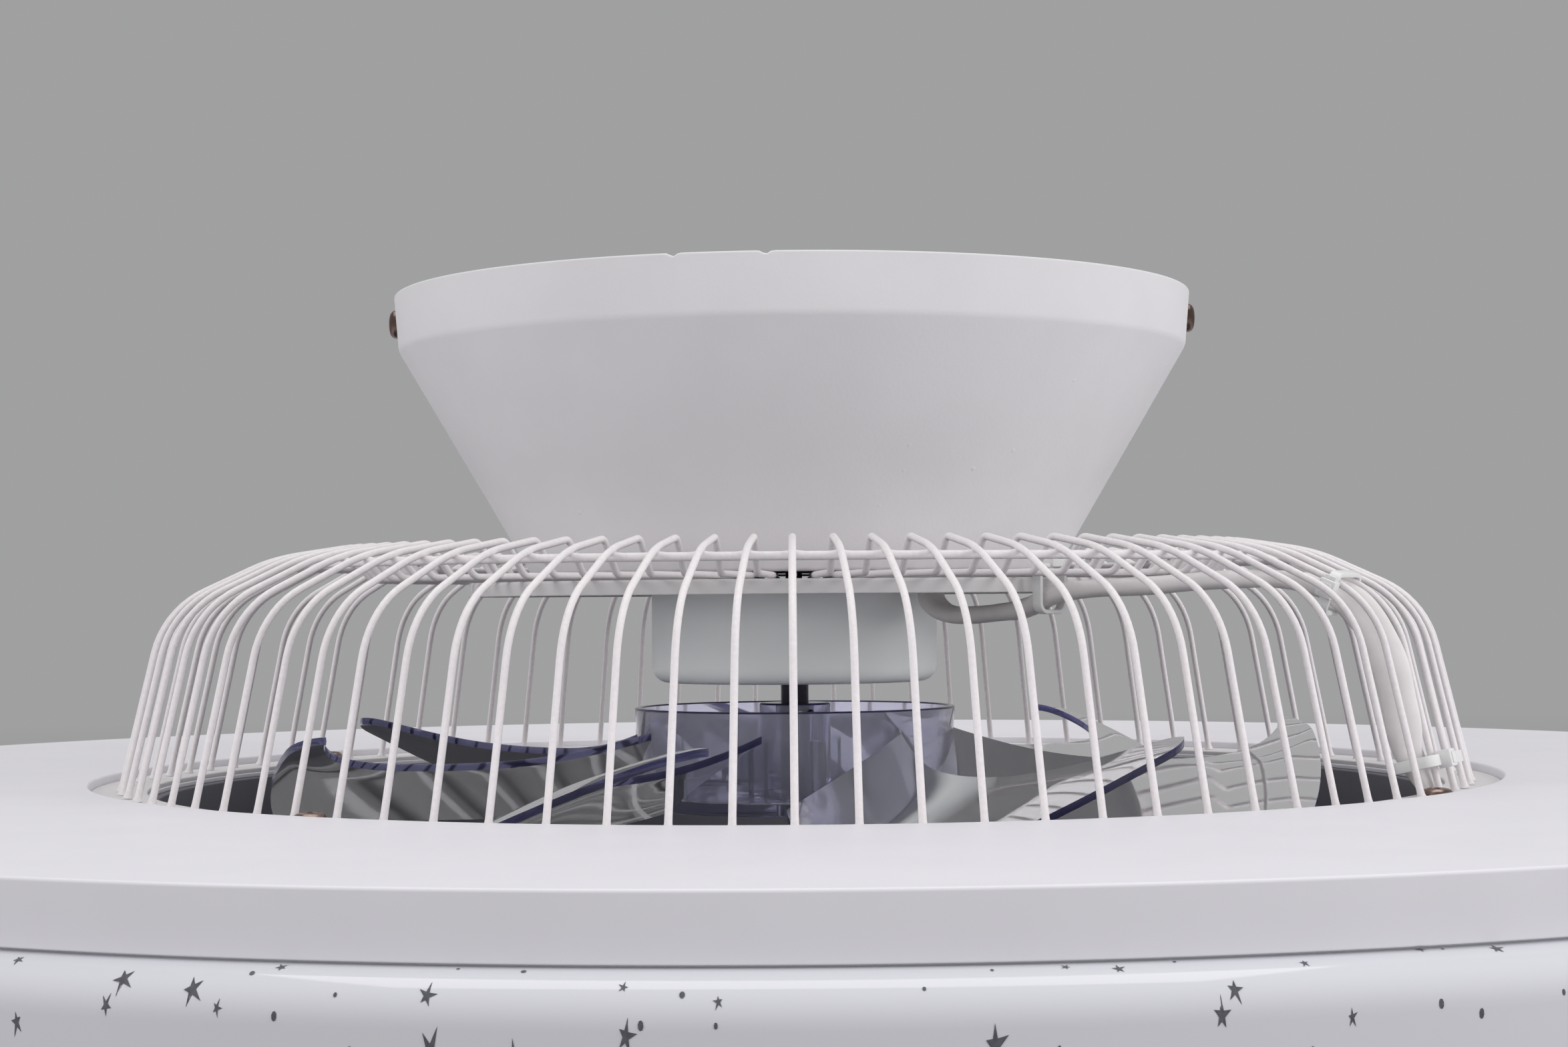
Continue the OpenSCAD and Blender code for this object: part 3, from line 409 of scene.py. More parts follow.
class Nodes:
    """Small helper that adds and links nodes of one material."""

    def __init__(self, name: str) -> None:
        """Starts an empty material with a shader and object coordinates.

        Args:
            name: The material's name.
        """
        self.material = bpy.data.materials.new(name)
        self.material.use_nodes = True
        self.tree = self.material.node_tree
        self.shader = self.tree.nodes["Principled BSDF"]
        self.output = self.tree.nodes["Material Output"]
        self.place = self.add("ShaderNodeTexCoord").outputs["Object"]

    def add(self, kind: str, **settings: object) -> bpy.types.Node:
        """Adds a node.

        Args:
            kind: Blender's name of the node type.
            settings: Values; a name that is an input sets it, another sets the node.

        Returns:
            The node.
        """
        node = self.tree.nodes.new(kind)
        for key, value in settings.items():
            if key in node.inputs:
                node.inputs[key].default_value = value
            else:
                setattr(node, key, value)
        return node

    def link(self, source: bpy.types.NodeSocket, target: bpy.types.NodeSocket) -> None:
        """Links two sockets."""
        self.tree.links.new(source, target)

    def set_all(self, **values: object) -> None:
        """Sets the shader's own inputs, with _ for a space in a name."""
        for key, value in values.items():
            self.shader.inputs[key.replace("_", " ")].default_value = value

    def noise(self, size_mm: float, detail: float = 2.0) -> bpy.types.NodeSocket:
        """Adds noise.

        Args:
            size_mm: Rough width of its blobs.
            detail: How many finer layers lie on it.

        Returns:
            Its value, from 0 to 1.
        """
        node = self.add("ShaderNodeTexNoise", Scale=1 / (size_mm * MM), Detail=detail)
        self.link(self.place, node.inputs["Vector"])
        return node.outputs["Fac"]

    def blend(self, amount: bpy.types.NodeSocket, first: object, second: object) -> bpy.types.NodeSocket:
        """Mixes two colours.

        Args:
            amount: A socket from 0, all first, to 1, all second.
            first: Colour or colour socket.
            second: Colour or colour socket.

        Returns:
            The mixed colour.
        """
        node = self.add("ShaderNodeMix", data_type="RGBA")
        factor, a, b = (node.inputs[k] for k in (0, 6, 7))
        self.link(amount, factor)
        for socket, value in ((a, first), (b, second)):
            if isinstance(value, bpy.types.NodeSocket):
                self.link(value, socket)
            else:
                socket.default_value = value
        return node.outputs[2]

    def specks(self, apart_mm: float, size_mm: float) -> bpy.types.NodeSocket:
        """Scatters specks.

        Args:
            apart_mm: Rough space between them.
            size_mm: Radius of one.

        Returns:
            1 in the middle of a speck, 0 between them.
        """
        node = self.add("ShaderNodeTexVoronoi", Scale=1 / (apart_mm * MM))
        self.link(self.place, node.inputs["Vector"])
        return self.spread(node.outputs["Distance"], 0.0, size_mm / apart_mm, 1.0, 0.0)

    def spread(self, source: bpy.types.NodeSocket, low: float, high: float,
               to_low: float = 0.0, to_high: float = 1.0) -> bpy.types.NodeSocket:
        """Stretches a value and holds it at the ends.

        Args:
            source: The value.
            low: What becomes to_low.
            high: What becomes to_high.
            to_low: Result for low.
            to_high: Result for high.

        Returns:
            The stretched value.
        """
        node = self.add("ShaderNodeMapRange")
        for index, value in enumerate((low, high, to_low, to_high), 1):
            node.inputs[index].default_value = value
        self.link(source, node.inputs[0])
        return node.outputs[0]

    def bump(self, height: bpy.types.NodeSocket, depth_mm: float,
             normal: bpy.types.NodeSocket | None = None) -> bpy.types.NodeSocket:
        """Adds a bump of a real depth.

        Args:
            height: Height from 0 to 1.
            depth_mm: What 1 stands for.
            normal: An earlier bump that this one lies on.

        Returns:
            The bumped normal.
        """
        node = self.add("ShaderNodeBump", Strength=1.0, Distance=depth_mm * MM)
        self.link(height, node.inputs["Height"])
        if normal is not None:
            self.link(normal, node.inputs["Normal"])
        return node.outputs["Normal"]


@dataclass(frozen=True)
class Finish:
    """A plain surface: paint, plastic or metal with grain and slight unevenness.

    Attributes:
        name: The material's name.
        colour: 8-bit display colour.
        roughness: Middle roughness.
        metallic: 1 for bare metal.
        grain_mm: Size of the fine grain.
        grain_depth_mm: Depth of that grain.
        mottle: How much darker the uneven spots are.
        mottle_mm: Size of the spots.
        coat: Weight of the clear coat.
        dust_mm: Space between specks of dust under the paint, or 0 for none.
        dust_size_mm: Radius of a speck.
        dust_rise_mm: Height of a speck.
    """

    name: str
    colour: Colour
    roughness: float = 0.5
    metallic: float = 0.0
    grain_mm: float = 0.6
    grain_depth_mm: float = 0.02
    mottle: float = 0.04
    mottle_mm: float = 25.0
    coat: float = 0.0
    dust_mm: float = 0.0
    dust_size_mm: float = 0.7
    dust_rise_mm: float = 0.12

    def material(self) -> bpy.types.Material:
        """Builds the material once, apart from the CAD's own one of a like name.

        Returns:
            The material.
        """
        label = f"{self.name}_finish"
        made = bpy.data.materials.get(label)
        if made:
            return made
        nodes = Nodes(label)
        self.dress(nodes)
        return nodes.material

    def spotted(self, nodes: Nodes, detail: float) -> None:
        """Colours the shader, with darker clouds over the middle of a noise.

        Args:
            nodes: The material.
            detail: Detail of the clouds' noise.
        """
        base = linear(self.colour)
        dark = tuple(c * (1 - self.mottle) for c in base[:3]) + (1.0,)
        clouds = nodes.spread(nodes.noise(self.mottle_mm, detail), 0.35, 0.65)
        nodes.link(nodes.blend(clouds, dark, base), nodes.shader.inputs["Base Color"])

    def dress(self, nodes: Nodes) -> None:
        """Sets colour, roughness and grain.

        Roughness goes from 8% below to 10% above its middle over the grain.

        Args:
            nodes: The material.
        """
        self.spotted(nodes, 3)
        grain = nodes.noise(self.grain_mm)
        low, high = self.roughness * 0.92, min(1.0, self.roughness * 1.1)
        nodes.link(nodes.spread(grain, 0.3, 0.7, low, high), nodes.shader.inputs["Roughness"])
        normal = nodes.bump(grain, self.grain_depth_mm)
        if self.dust_mm:
            dust = nodes.specks(self.dust_mm, self.dust_size_mm)
            normal = nodes.bump(dust, self.dust_rise_mm, normal)
        nodes.link(normal, nodes.shader.inputs["Normal"])
        nodes.set_all(Metallic=self.metallic, Coat_Weight=self.coat)


@dataclass(frozen=True)
class ClearPlastic(Finish):
    """Clear plastic whose tint shows most where it is cut; a darker copy of it adds painted shade on cut
    edges.

    Attributes:
        tint: Share of light that passes the face.
        body: 8-bit colour that a long way through the plastic takes on.
        density: How fast it takes it on, per metre.
        scatter_mm: How far its haze carries light, here from one face to the other.
        index: How strongly it bends light.
    """

    tint: float = 1.0
    body: Colour = (140, 138, 190)
    density: float = 14.0
    scatter_mm: float = 3.0
    index: float = 1.38

    def dress(self, nodes: Nodes) -> None:
        """Sets transmission, haze and a faint flow pattern from moulding.

        Args:
            nodes: The material.
        """
        self.spotted(nodes, 2)
        waves = nodes.bump(nodes.noise(self.grain_mm, 1), self.grain_depth_mm)
        nodes.link(waves, nodes.shader.inputs["Normal"])
        nodes.set_all(Roughness=self.roughness, Transmission_Weight=self.tint, IOR=self.index,
                      Subsurface_Weight=1.0, Subsurface_Radius=(1.0, 1.0, 1.0),
                      Subsurface_Scale=self.scatter_mm * MM)
        depth = nodes.add("ShaderNodeVolumeAbsorption", Color=linear(self.body), Density=self.density)
        nodes.link(depth.outputs[0], nodes.output.inputs["Volume"])


CANOPY_PAINT = Finish("canopy_paint", (226, 224, 227), 0.62, grain_mm=0.9, grain_depth_mm=0.035,
                      mottle=0.03, dust_mm=9.0)
RING_PAINT = Finish("ring_paint", (228, 226, 232), grain_mm=0.5, grain_depth_mm=0.008, mottle=0.02)
CAGE_PAINT = Finish("cage_paint", (233, 228, 230), grain_mm=0.28, grain_depth_mm=0.045,
                    mottle=0.06, mottle_mm=0.9)
# Painted shade: the canopy's white paint made darker for the pan, which lies in shade under the canopy; the
# flange ring takes the same darker paint.
PAN_PAINT_PAINTED_SHADE = Finish("pan_paint_painted_shade", (218, 216, 217), grain_mm=0.7, grain_depth_mm=0.015, mottle=0.03)
MOTOR_PAINT = Finish("motor_paint", (244, 247, 248), 0.38, grain_mm=0.5, grain_depth_mm=0.004, mottle=0.02)
WALL_PAINT = Finish("well_paint", (102, 102, 110), 0.45, grain_depth_mm=0.01, mottle=0.06)
ZINC = Finish("zinc_plate", (178, 180, 184), 0.32, 1.0, grain_mm=3.0, grain_depth_mm=0.01,
              mottle=0.12, mottle_mm=6.0)
DARK_NICKEL = Finish("dark_nickel", (128, 108, 100), 0.28, 1.0, grain_mm=0.8, grain_depth_mm=0.01,
                     mottle=0.25, mottle_mm=2.0)
COPPER_NICKEL = Finish("copper_nickel", (158, 136, 126), 0.25, 1.0, grain_mm=0.8, grain_depth_mm=0.01,
                       mottle=0.3, mottle_mm=1.5)
SHAFT_STEEL = Finish("shaft_steel", (58, 56, 64), 0.25, 0.9, grain_mm=0.3, grain_depth_mm=0.004,
                     mottle=0.1, mottle_mm=4.0)
NYLON = Finish("tie_nylon", (226, 226, 226), 0.42, grain_depth_mm=0.006, mottle=0.03, coat=0.2)
SLEEVE = Finish("sleeve_rubber", (224, 220, 220), 0.6, grain_mm=0.5, grain_depth_mm=0.03,
                mottle=0.05, mottle_mm=4.0)
OPAL = Finish("opal_acrylic", (219, 219, 226), 0.09, grain_mm=12.0, grain_depth_mm=0.004,
              mottle=0.01, mottle_mm=60.0, coat=0.5)
STAR_INK = Finish("star_ink", (96, 96, 105), 0.35, grain_mm=0.25, grain_depth_mm=0.004,
                  mottle=0.3, mottle_mm=0.8)
GUARD = Finish("guard_plastic", (226, 226, 229), 0.3, grain_mm=1.5, grain_depth_mm=0.006, mottle=0.02)
BOX = Finish("box_plastic", (216, 216, 216), mottle=0.03)
BLOCK_NYLON = Finish("block_nylon", (222, 218, 204), 0.45, grain_depth_mm=0.01)
BRASS = Finish("earth_brass", (200, 164, 92), 0.3, 1.0, grain_depth_mm=0.006, mottle=0.15, mottle_mm=3.0)
CASTING = Finish("base_casting", (172, 174, 178), 0.5, 1.0, grain_mm=1.0, grain_depth_mm=0.03,
                 mottle=0.08, mottle_mm=5.0)
LAMINATION = Finish("stator_steel", (98, 98, 104), 0.5, 0.8, grain_mm=0.5, mottle=0.15, mottle_mm=2.0)
COPPER = Finish("coil_copper", (188, 108, 62), 0.3, 0.9, grain_mm=0.5, grain_depth_mm=0.05,
                mottle=0.25, mottle_mm=1.5)
GROUND_STEEL = Finish("bearing_steel", (204, 205, 208), 0.18, 1.0, grain_mm=0.4, grain_depth_mm=0.002,
                      mottle=0.05)
FERRITE = Finish("magnet_ferrite", (52, 52, 56), 0.55, mottle=0.15, mottle_mm=3.0)
BOARD = Finish("board_laminate", (232, 232, 226), 0.4, grain_mm=2.0, grain_depth_mm=0.01, mottle_mm=9.0)
PHOSPHOR = Finish("led_phosphor", (232, 212, 116), 0.35, grain_mm=0.5, grain_depth_mm=0.01,
                  mottle=0.06, mottle_mm=2.0)
CLEAR = ClearPlastic("clear_plastic", (240, 240, 251), 0.04, grain_mm=14.0, mottle=0.01, tint=0.9)
CLEAR_HUB = ClearPlastic("clear_hub", (234, 234, 251), 0.04, grain_mm=9.0, mottle=0.02, tint=0.88)
# Painted shade: a dark violet copy of the clear plastic for the cut edges, standing for the darkening that
# internal reflection gives a clear sheet's edge; the violet is the plastic's own tint.
CLEAR_EDGE_PAINTED_SHADE = ClearPlastic("clear_edge_painted_shade", (104, 103, 156), 0.1, grain_mm=3.0, grain_depth_mm=0.01,
                          mottle=0.2, mottle_mm=6.0, tint=0.8)

CAD_FINISHES: dict[str, Finish] = {
    "ceiling_bracket": ZINC, "terminal_block": BLOCK_NYLON, "earth_screw": BRASS, "receiver_box": BOX,
    "receiver_lid": BOX, "pan_screws": ZINC, "pan_nuts": ZINC, "motor_base": CASTING,
    "motor_base_screws": ZINC, "motor_stator": LAMINATION, "motor_coils": COPPER,
    "bearing_upper": GROUND_STEEL, "bearing_lower": GROUND_STEEL, "motor_magnets": FERRITE,
    "grub_screw": SHAFT_STEEL, "wheel_washer": ZINC, "wheel_screw": ZINC, "led_board": BOARD,
    "led_chips": PHOSPHOR, "lamp_driver": BOX, "diffuser_clips": ZINC, "bottom_guard": GUARD,
    "guard_screws": ZINC,
}


# ---- making pieces --------------------------------------------------------


def smooth(mesh: bpy.types.Mesh, sharp: float) -> None:
    """Shades a mesh smooth, apart from edges past an angle in degrees."""
    mesh.polygons.foreach_set("use_smooth", [True] * len(mesh.polygons))
    mesh.update()
    mesh.set_sharp_from_angle(angle=math.radians(sharp))


def make_object(name: str, shape: Shape, finishes: list[Finish], sharp: float = CRISP) -> bpy.types.Object:
    """Turns a shape into a smooth-shaded object at the origin.

    Args:
        name: The object's name.
        shape: The shape in millimetres.
        finishes: One finish for each material index.
        sharp: Angle in degrees past which an edge stays crisp.

    Returns:
        The new object, linked to the scene.
    """
    mesh = bpy.data.meshes.new(name)
    mesh.from_pydata((shape.points * MM).tolist(), [], shape.faces)
    for finish in finishes:
        mesh.materials.append(finish.material())
    if shape.marks:
        mesh.polygons.foreach_set("material_index", shape.marks)
    mesh.validate()
    smooth(mesh, sharp)
    obj = bpy.data.objects.new(name, mesh)
    bpy.context.scene.collection.objects.link(obj)
    return obj


def place_piece(obj: bpy.types.Object, body: Body, nodes: tuple[str, ...]) -> None:
    """Lets a piece ride on its body and hides what it stands for.

    Args:
        obj: The piece.
        body: The body that it rides on.
        nodes: The CAD nodes that it stands for.
    """
    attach(obj, body.value)
    if nodes:
        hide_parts(*nodes)
    LOG.info("%s: %d faces", obj.name, len(obj.data.polygons))


def add_piece(name: str, shape: Shape, finish: Finish, nodes: tuple[str, ...] = (),
              sharp: float = CRISP, body: Body = Body.FIXED) -> None:
    """Makes a piece of one finish and puts it on its body.

    Args:
        name: The piece's name.
        shape: The shape in millimetres.
        finish: Its finish.
        nodes: The CAD nodes that it stands for.
        sharp: Angle in degrees past which an edge stays crisp.
        body: The body that it rides on.
    """
    place_piece(make_object(name, shape, [finish], sharp), body, nodes)


# ---- canopy, pan and motor ------------------------------------------------


@dataclass
class Canopy:
    """The conical shell, its side screws, and the pressed pan below it.

    The nicks are azimuths of the upper rim; nick_width is the half width of one in
    degrees, and nick_reach is how far down the rim one is felt.
    """

    top_r: float = 100.0
    kink_r: float = 98.9
    inner_kink_r: float = 97.51
    band_h: float = 13.4
    foot_r: float = 66.0
    inner_foot_r: float = 65.31
    drop: float = 69.6
    wall: float = 1.2
    mouth_r: float = 12.0
    screw_drop: float = 5.4
    screw_length: float = 7.0
    screw_sunk: float = 0.05
    pan_r: float = 82.0
    pan_top: float = -71.4
    pan_under: float = -72.9
    pan_lip: float = -74.9
    pan_sheet: float = 1.5
    rim_nicks: tuple[float, ...] = (-15.1, -3.2, 171.0)
    nick_depth: float = 0.75
    nick_width: float = 0.5
    nick_reach: float = 1.0

    def shell(self) -> Shape:
        """The outline: band, soft crease, cone and flat foot, with a rolled upper rim.

        The rim dips by a narrow bell curve at each nick that the press tool left. The
        dip fades out over the half of nick_reach that is furthest from the rim.

        Returns:
            The shell.
        """
        floor = self.wall - self.drop
        shell = revolved(rounded([
            (self.top_r, 0, 0.45), (self.kink_r, -self.band_h, 4), (self.foot_r, -self.drop, 1.8),
            (self.mouth_r, -self.drop, 0.2), (self.mouth_r, floor, 0.2), (self.inner_foot_r, floor, 0.8),
            (self.inner_kink_r, -self.band_h, 3), (self.top_r - self.wall, 0, 0.45)]), 720)
        x, y, z = shell.points.T
        azimuth = np.degrees(np.arctan2(x, -y))
        near_rim = np.clip((z + self.nick_reach) / (self.nick_reach / 2), 0, 1)
        for nick in self.rim_nicks:
            dip = self.nick_depth * np.exp(-((azimuth - nick) / self.nick_width) ** 2)
            shell.points[:, 2] -= dip * near_rim
        return shell

    def screws(self) -> Shape:
        """The two side screws, each with a shank through the band.

        Returns:
            Both screws.
        """
        screw = cross_screw(self.screw_length).moved(Matrix.Rotation(math.pi / 2, 4, "Y"))
        spot = (self.top_r - self.screw_sunk, 0, -self.screw_drop)
        placed = screw.moved(Matrix.Translation(spot))
        return joined([placed, placed.turned(180)])

    def pan(self) -> Shape:
        """The pan's outline: a flat sheet with a short turned-down lip.

        Returns:
            The pan.
        """
        r, inside = self.pan_r, self.pan_r - self.pan_sheet
        return revolved(rounded([
            (self.mouth_r, self.pan_top, 0.3), (r, self.pan_top, 0.8), (r, self.pan_lip, 0.3),
            (inside, self.pan_lip, 0.3), (inside, self.pan_under, 0.8),
            (self.mouth_r, self.pan_under, 0.3)]), 240)

    def build(self) -> None:
        """Makes the three pieces."""
        add_piece("canopy_shell", self.shell(), CANOPY_PAINT, ("canopy",), 60)
        add_piece("canopy_side_screws", self.screws(), DARK_NICKEL, ("canopy_screws",))
        # The pan's paint is darker than the canopy's, to paint the shade under the canopy.
        add_piece("pressed_pan", self.pan(), PAN_PAINT_PAINTED_SHADE, ("cage_pan",), 60)


@dataclass
class Motor:
    """The upturned motor cup and its shaft."""

    radius: float = 36.0
    top: float = -72.9
    floor: float = -96.7
    edge_r: float = 4.0
    wall: float = 2.0
    shaft_r: float = 3.5
    shaft_top: float = -74.9
    shaft_end: float = -128.3
    shaft_play: float = 1.5
    bore_r: float = 2.0
    bore_depth: float = 9.0

    def housing(self) -> Shape:
        """Cup outline with a round lower edge and a hole for the shaft.

        Returns:
            The cup.
        """
        r, w = self.radius, self.wall
        hole = self.shaft_r + self.shaft_play
        return revolved(rounded([
            (r, self.top, 0.3), (r, self.floor, self.edge_r), (hole, self.floor, 0.3),
            (hole, self.floor + w, 0.3), (r - w, self.floor + w, 2), (r - w, self.top, 0.3)]), 240)

    def shaft(self) -> Shape:
        """Round bar, bevelled at its upper end and bored for the screw below.

        The outline stays a pin's width off the axis, so that it closes without a pole.

        Returns:
            The shaft.
        """
        pin, r, bore, end = 0.3, self.shaft_r, self.bore_r, self.shaft_end
        return revolved(rounded([
            (pin, self.shaft_top, 0), (r, self.shaft_top, 0.5), (r, end, 0.3), (bore, end, 0.2),
            (bore, end + self.bore_depth, 0), (pin, end + self.bore_depth, 0)]), 64)

    def build(self) -> None:
        """Makes both pieces."""
        add_piece("motor_cup", self.housing(), MOTOR_PAINT, ("motor_housing",), 60)
        add_piece("dark_shaft", self.shaft(), SHAFT_STEEL, ("motor_shaft",), body=Body.ROTOR)


# ---- cage -----------------------------------------------------------------


@dataclass
class Cage:
    """Bent wires on a hoop and a flange ring.

    A weld's swell is a share of the wire's radius, its reach a length along the wire,
    and weld_rows are the places of extra rings of points, counted from the wire's foot.
    """

    wire_count: int = 84
    wire_r: float = 0.8
    wire_sides: int = 10
    corners: tuple[Corner, ...] = (
        (58.0, -70.5, 0.0), (105.8, -70.5, 3.0), (112.4, -62.7, 2.5), (130.0, -65.43, 40.0),
        (155.6, -77.4, 22.0), (165.8, -120.7, 0.0))
    weld_swell: float = 0.55
    weld_reach: float = 0.5
    weld_rows: tuple[float, ...] = (30.0, 15.0, 3.0, 1.5, 0.8, 0.4)
    hoop_r: float = 128.5
    hoop_z: float = -67.12
    hoop_wire_r: float = 0.95
    hoop_sides: int = 12
    hoop_rows_a_wire: int = 8
    lump_swell: float = 0.22
    lump_reach: float = 1.1
    lump_rise: float = 0.25
    flange_in: float = 159.6
    flange_out: float = 173.1
    flange_top: float = -121.0
    flange_t: float = 1.2
    screw_slots: tuple[float, ...] = (-29.5, -8.5, 13.5, 33.5)
    screw_r: float = 167.0
    screw_length: float = 6.6
    jitter_mm: float = 0.12
    lean_arm: float = 150.0
    seed: int = 11

    @property
    def pitch(self) -> float:
        """Degrees from wire to wire."""
        return 360 / self.wire_count

    def wire(self, sway: float) -> Shape:
        """One wire at the front, in the YZ plane.

        The section is a circle, whose radius is r * (1 + swell * exp(-d / reach)) at the
        distance d from the foot, for the weld. Sideways the wire is a half wave.

        Args:
            sway: Height of that half wave.

        Returns:
            The wire.
        """
        path = rounded(list(self.corners), closed=False, steps=9)
        along = lengths_along(path)
        total = along[-1]
        want = np.unique(np.concatenate([along, total - np.array(self.weld_rows)]))
        path = np.stack([np.interp(want, along, path[:, 0]), np.interp(want, along, path[:, 1])], 1)
        heading = unit(np.gradient(path, want, axis=0))
        zero = np.zeros(len(path))
        line = np.stack([sway * np.sin(math.pi * want / total), -path[:, 0], path[:, 1]], 1)
        across = np.stack([zero + 1, zero, zero], 1)
        up = np.stack([zero, heading[:, 1], heading[:, 0]], 1)
        radius = self.wire_r * (1 + self.weld_swell * np.exp(-(total - want) / self.weld_reach))
        angle = angles(self.wire_sides)
        ring = np.stack([np.cos(angle), np.sin(angle)], 1)
        return swept(line, across, up, radius[:, None, None] * ring[None])

    def quarter(self, index: int, rng: np.random.Generator) -> Shape:
        """The wires of one quarter, each a little off true.

        Args:
            index: The quarter, counted from the front.
            rng: Source of the sway and lean of each wire.

        Returns:
            The wires.
        """
        share = self.wire_count // 4
        first = index * share - share // 2
        wires = []
        for i in range(first, first + share):
            sway = float(rng.normal(0, self.jitter_mm))
            lean = float(rng.normal(0, self.jitter_mm)) / self.lean_arm
            wires.append(self.wire(sway).turned(i * self.pitch + math.degrees(lean)))
        return joined(wires)

    def hoop(self) -> Shape:
        """Ring of round wire that rises into a weld lump under each cage wire.

        Lump = exp(-(distance to the nearest cage wire / reach) ** 2). It swells the
        wire's radius and lifts the wire.

        Returns:
            The hoop.
        """
        around = self.wire_count * self.hoop_rows_a_wire
        a = angles(around)
        off = (np.degrees(a) / self.pitch + 0.5) % 1 - 0.5
        lump = np.exp(-((off * self.pitch * math.radians(self.hoop_r)) / self.lump_reach) ** 2)[:, None]
        radius = self.hoop_wire_r * (1 + self.lump_swell * lump)
        turn = angles(self.hoop_sides)[None]
        a = a[:, None]
        r = self.hoop_r + radius * np.cos(turn)
        z = self.hoop_z + radius * np.sin(turn) + self.lump_rise * lump
        points = np.stack([r * np.sin(a), -r * np.cos(a), z], 2).reshape(-1, 3)
        return Shape(points, grid_faces(around, self.hoop_sides, True, True)).outward()

    def flange(self) -> Shape:
        """Flat ring with softened edges."""
        top, under = self.flange_top, self.flange_top - self.flange_t
        return revolved(rounded([(self.flange_in, top, 0.4), (self.flange_out, top, 0.3),
                                 (self.flange_out, under, 0.2), (self.flange_in, under, 0.3)]), 360)

    def screws(self) -> Shape:
        """Cross-head screws between the wires' landings, each turned differently.

        Returns:
            The screws.
        """
        screw = cross_screw(self.screw_length)
        placed = []
        for k, slot in enumerate(self.screw_slots):
            spot = polar(self.screw_r, slot * self.pitch, self.flange_top)
            spin = Matrix.Rotation(0.5 + 1.3 * k, 4, "Z")
            placed.append(screw.moved(Matrix.Translation(spot) @ spin))
        return joined(placed)

    def build(self) -> None:
        """Makes wires, hoop, flange and screws."""
        rng = np.random.default_rng(self.seed)
        for index, side in enumerate(("front", "right", "back", "left")):
            add_piece(f"cage_wire_run_{side}", self.quarter(index, rng), CAGE_PAINT,
                      (f"cage_wires_{side}",), 50)
        add_piece("welded_hoop", self.hoop(), CAGE_PAINT, ("cage_hoop",))
        # The flange takes the pan's darker paint, with its painted shade.
        add_piece("flange_ring", self.flange(), PAN_PAINT_PAINTED_SHADE, ("cage_flange",))
        add_piece("flange_cross_screws", self.screws(), COPPER_NICKEL,
                  ("flange_screws",))


# ---- fan wheel ------------------------------------------------------------


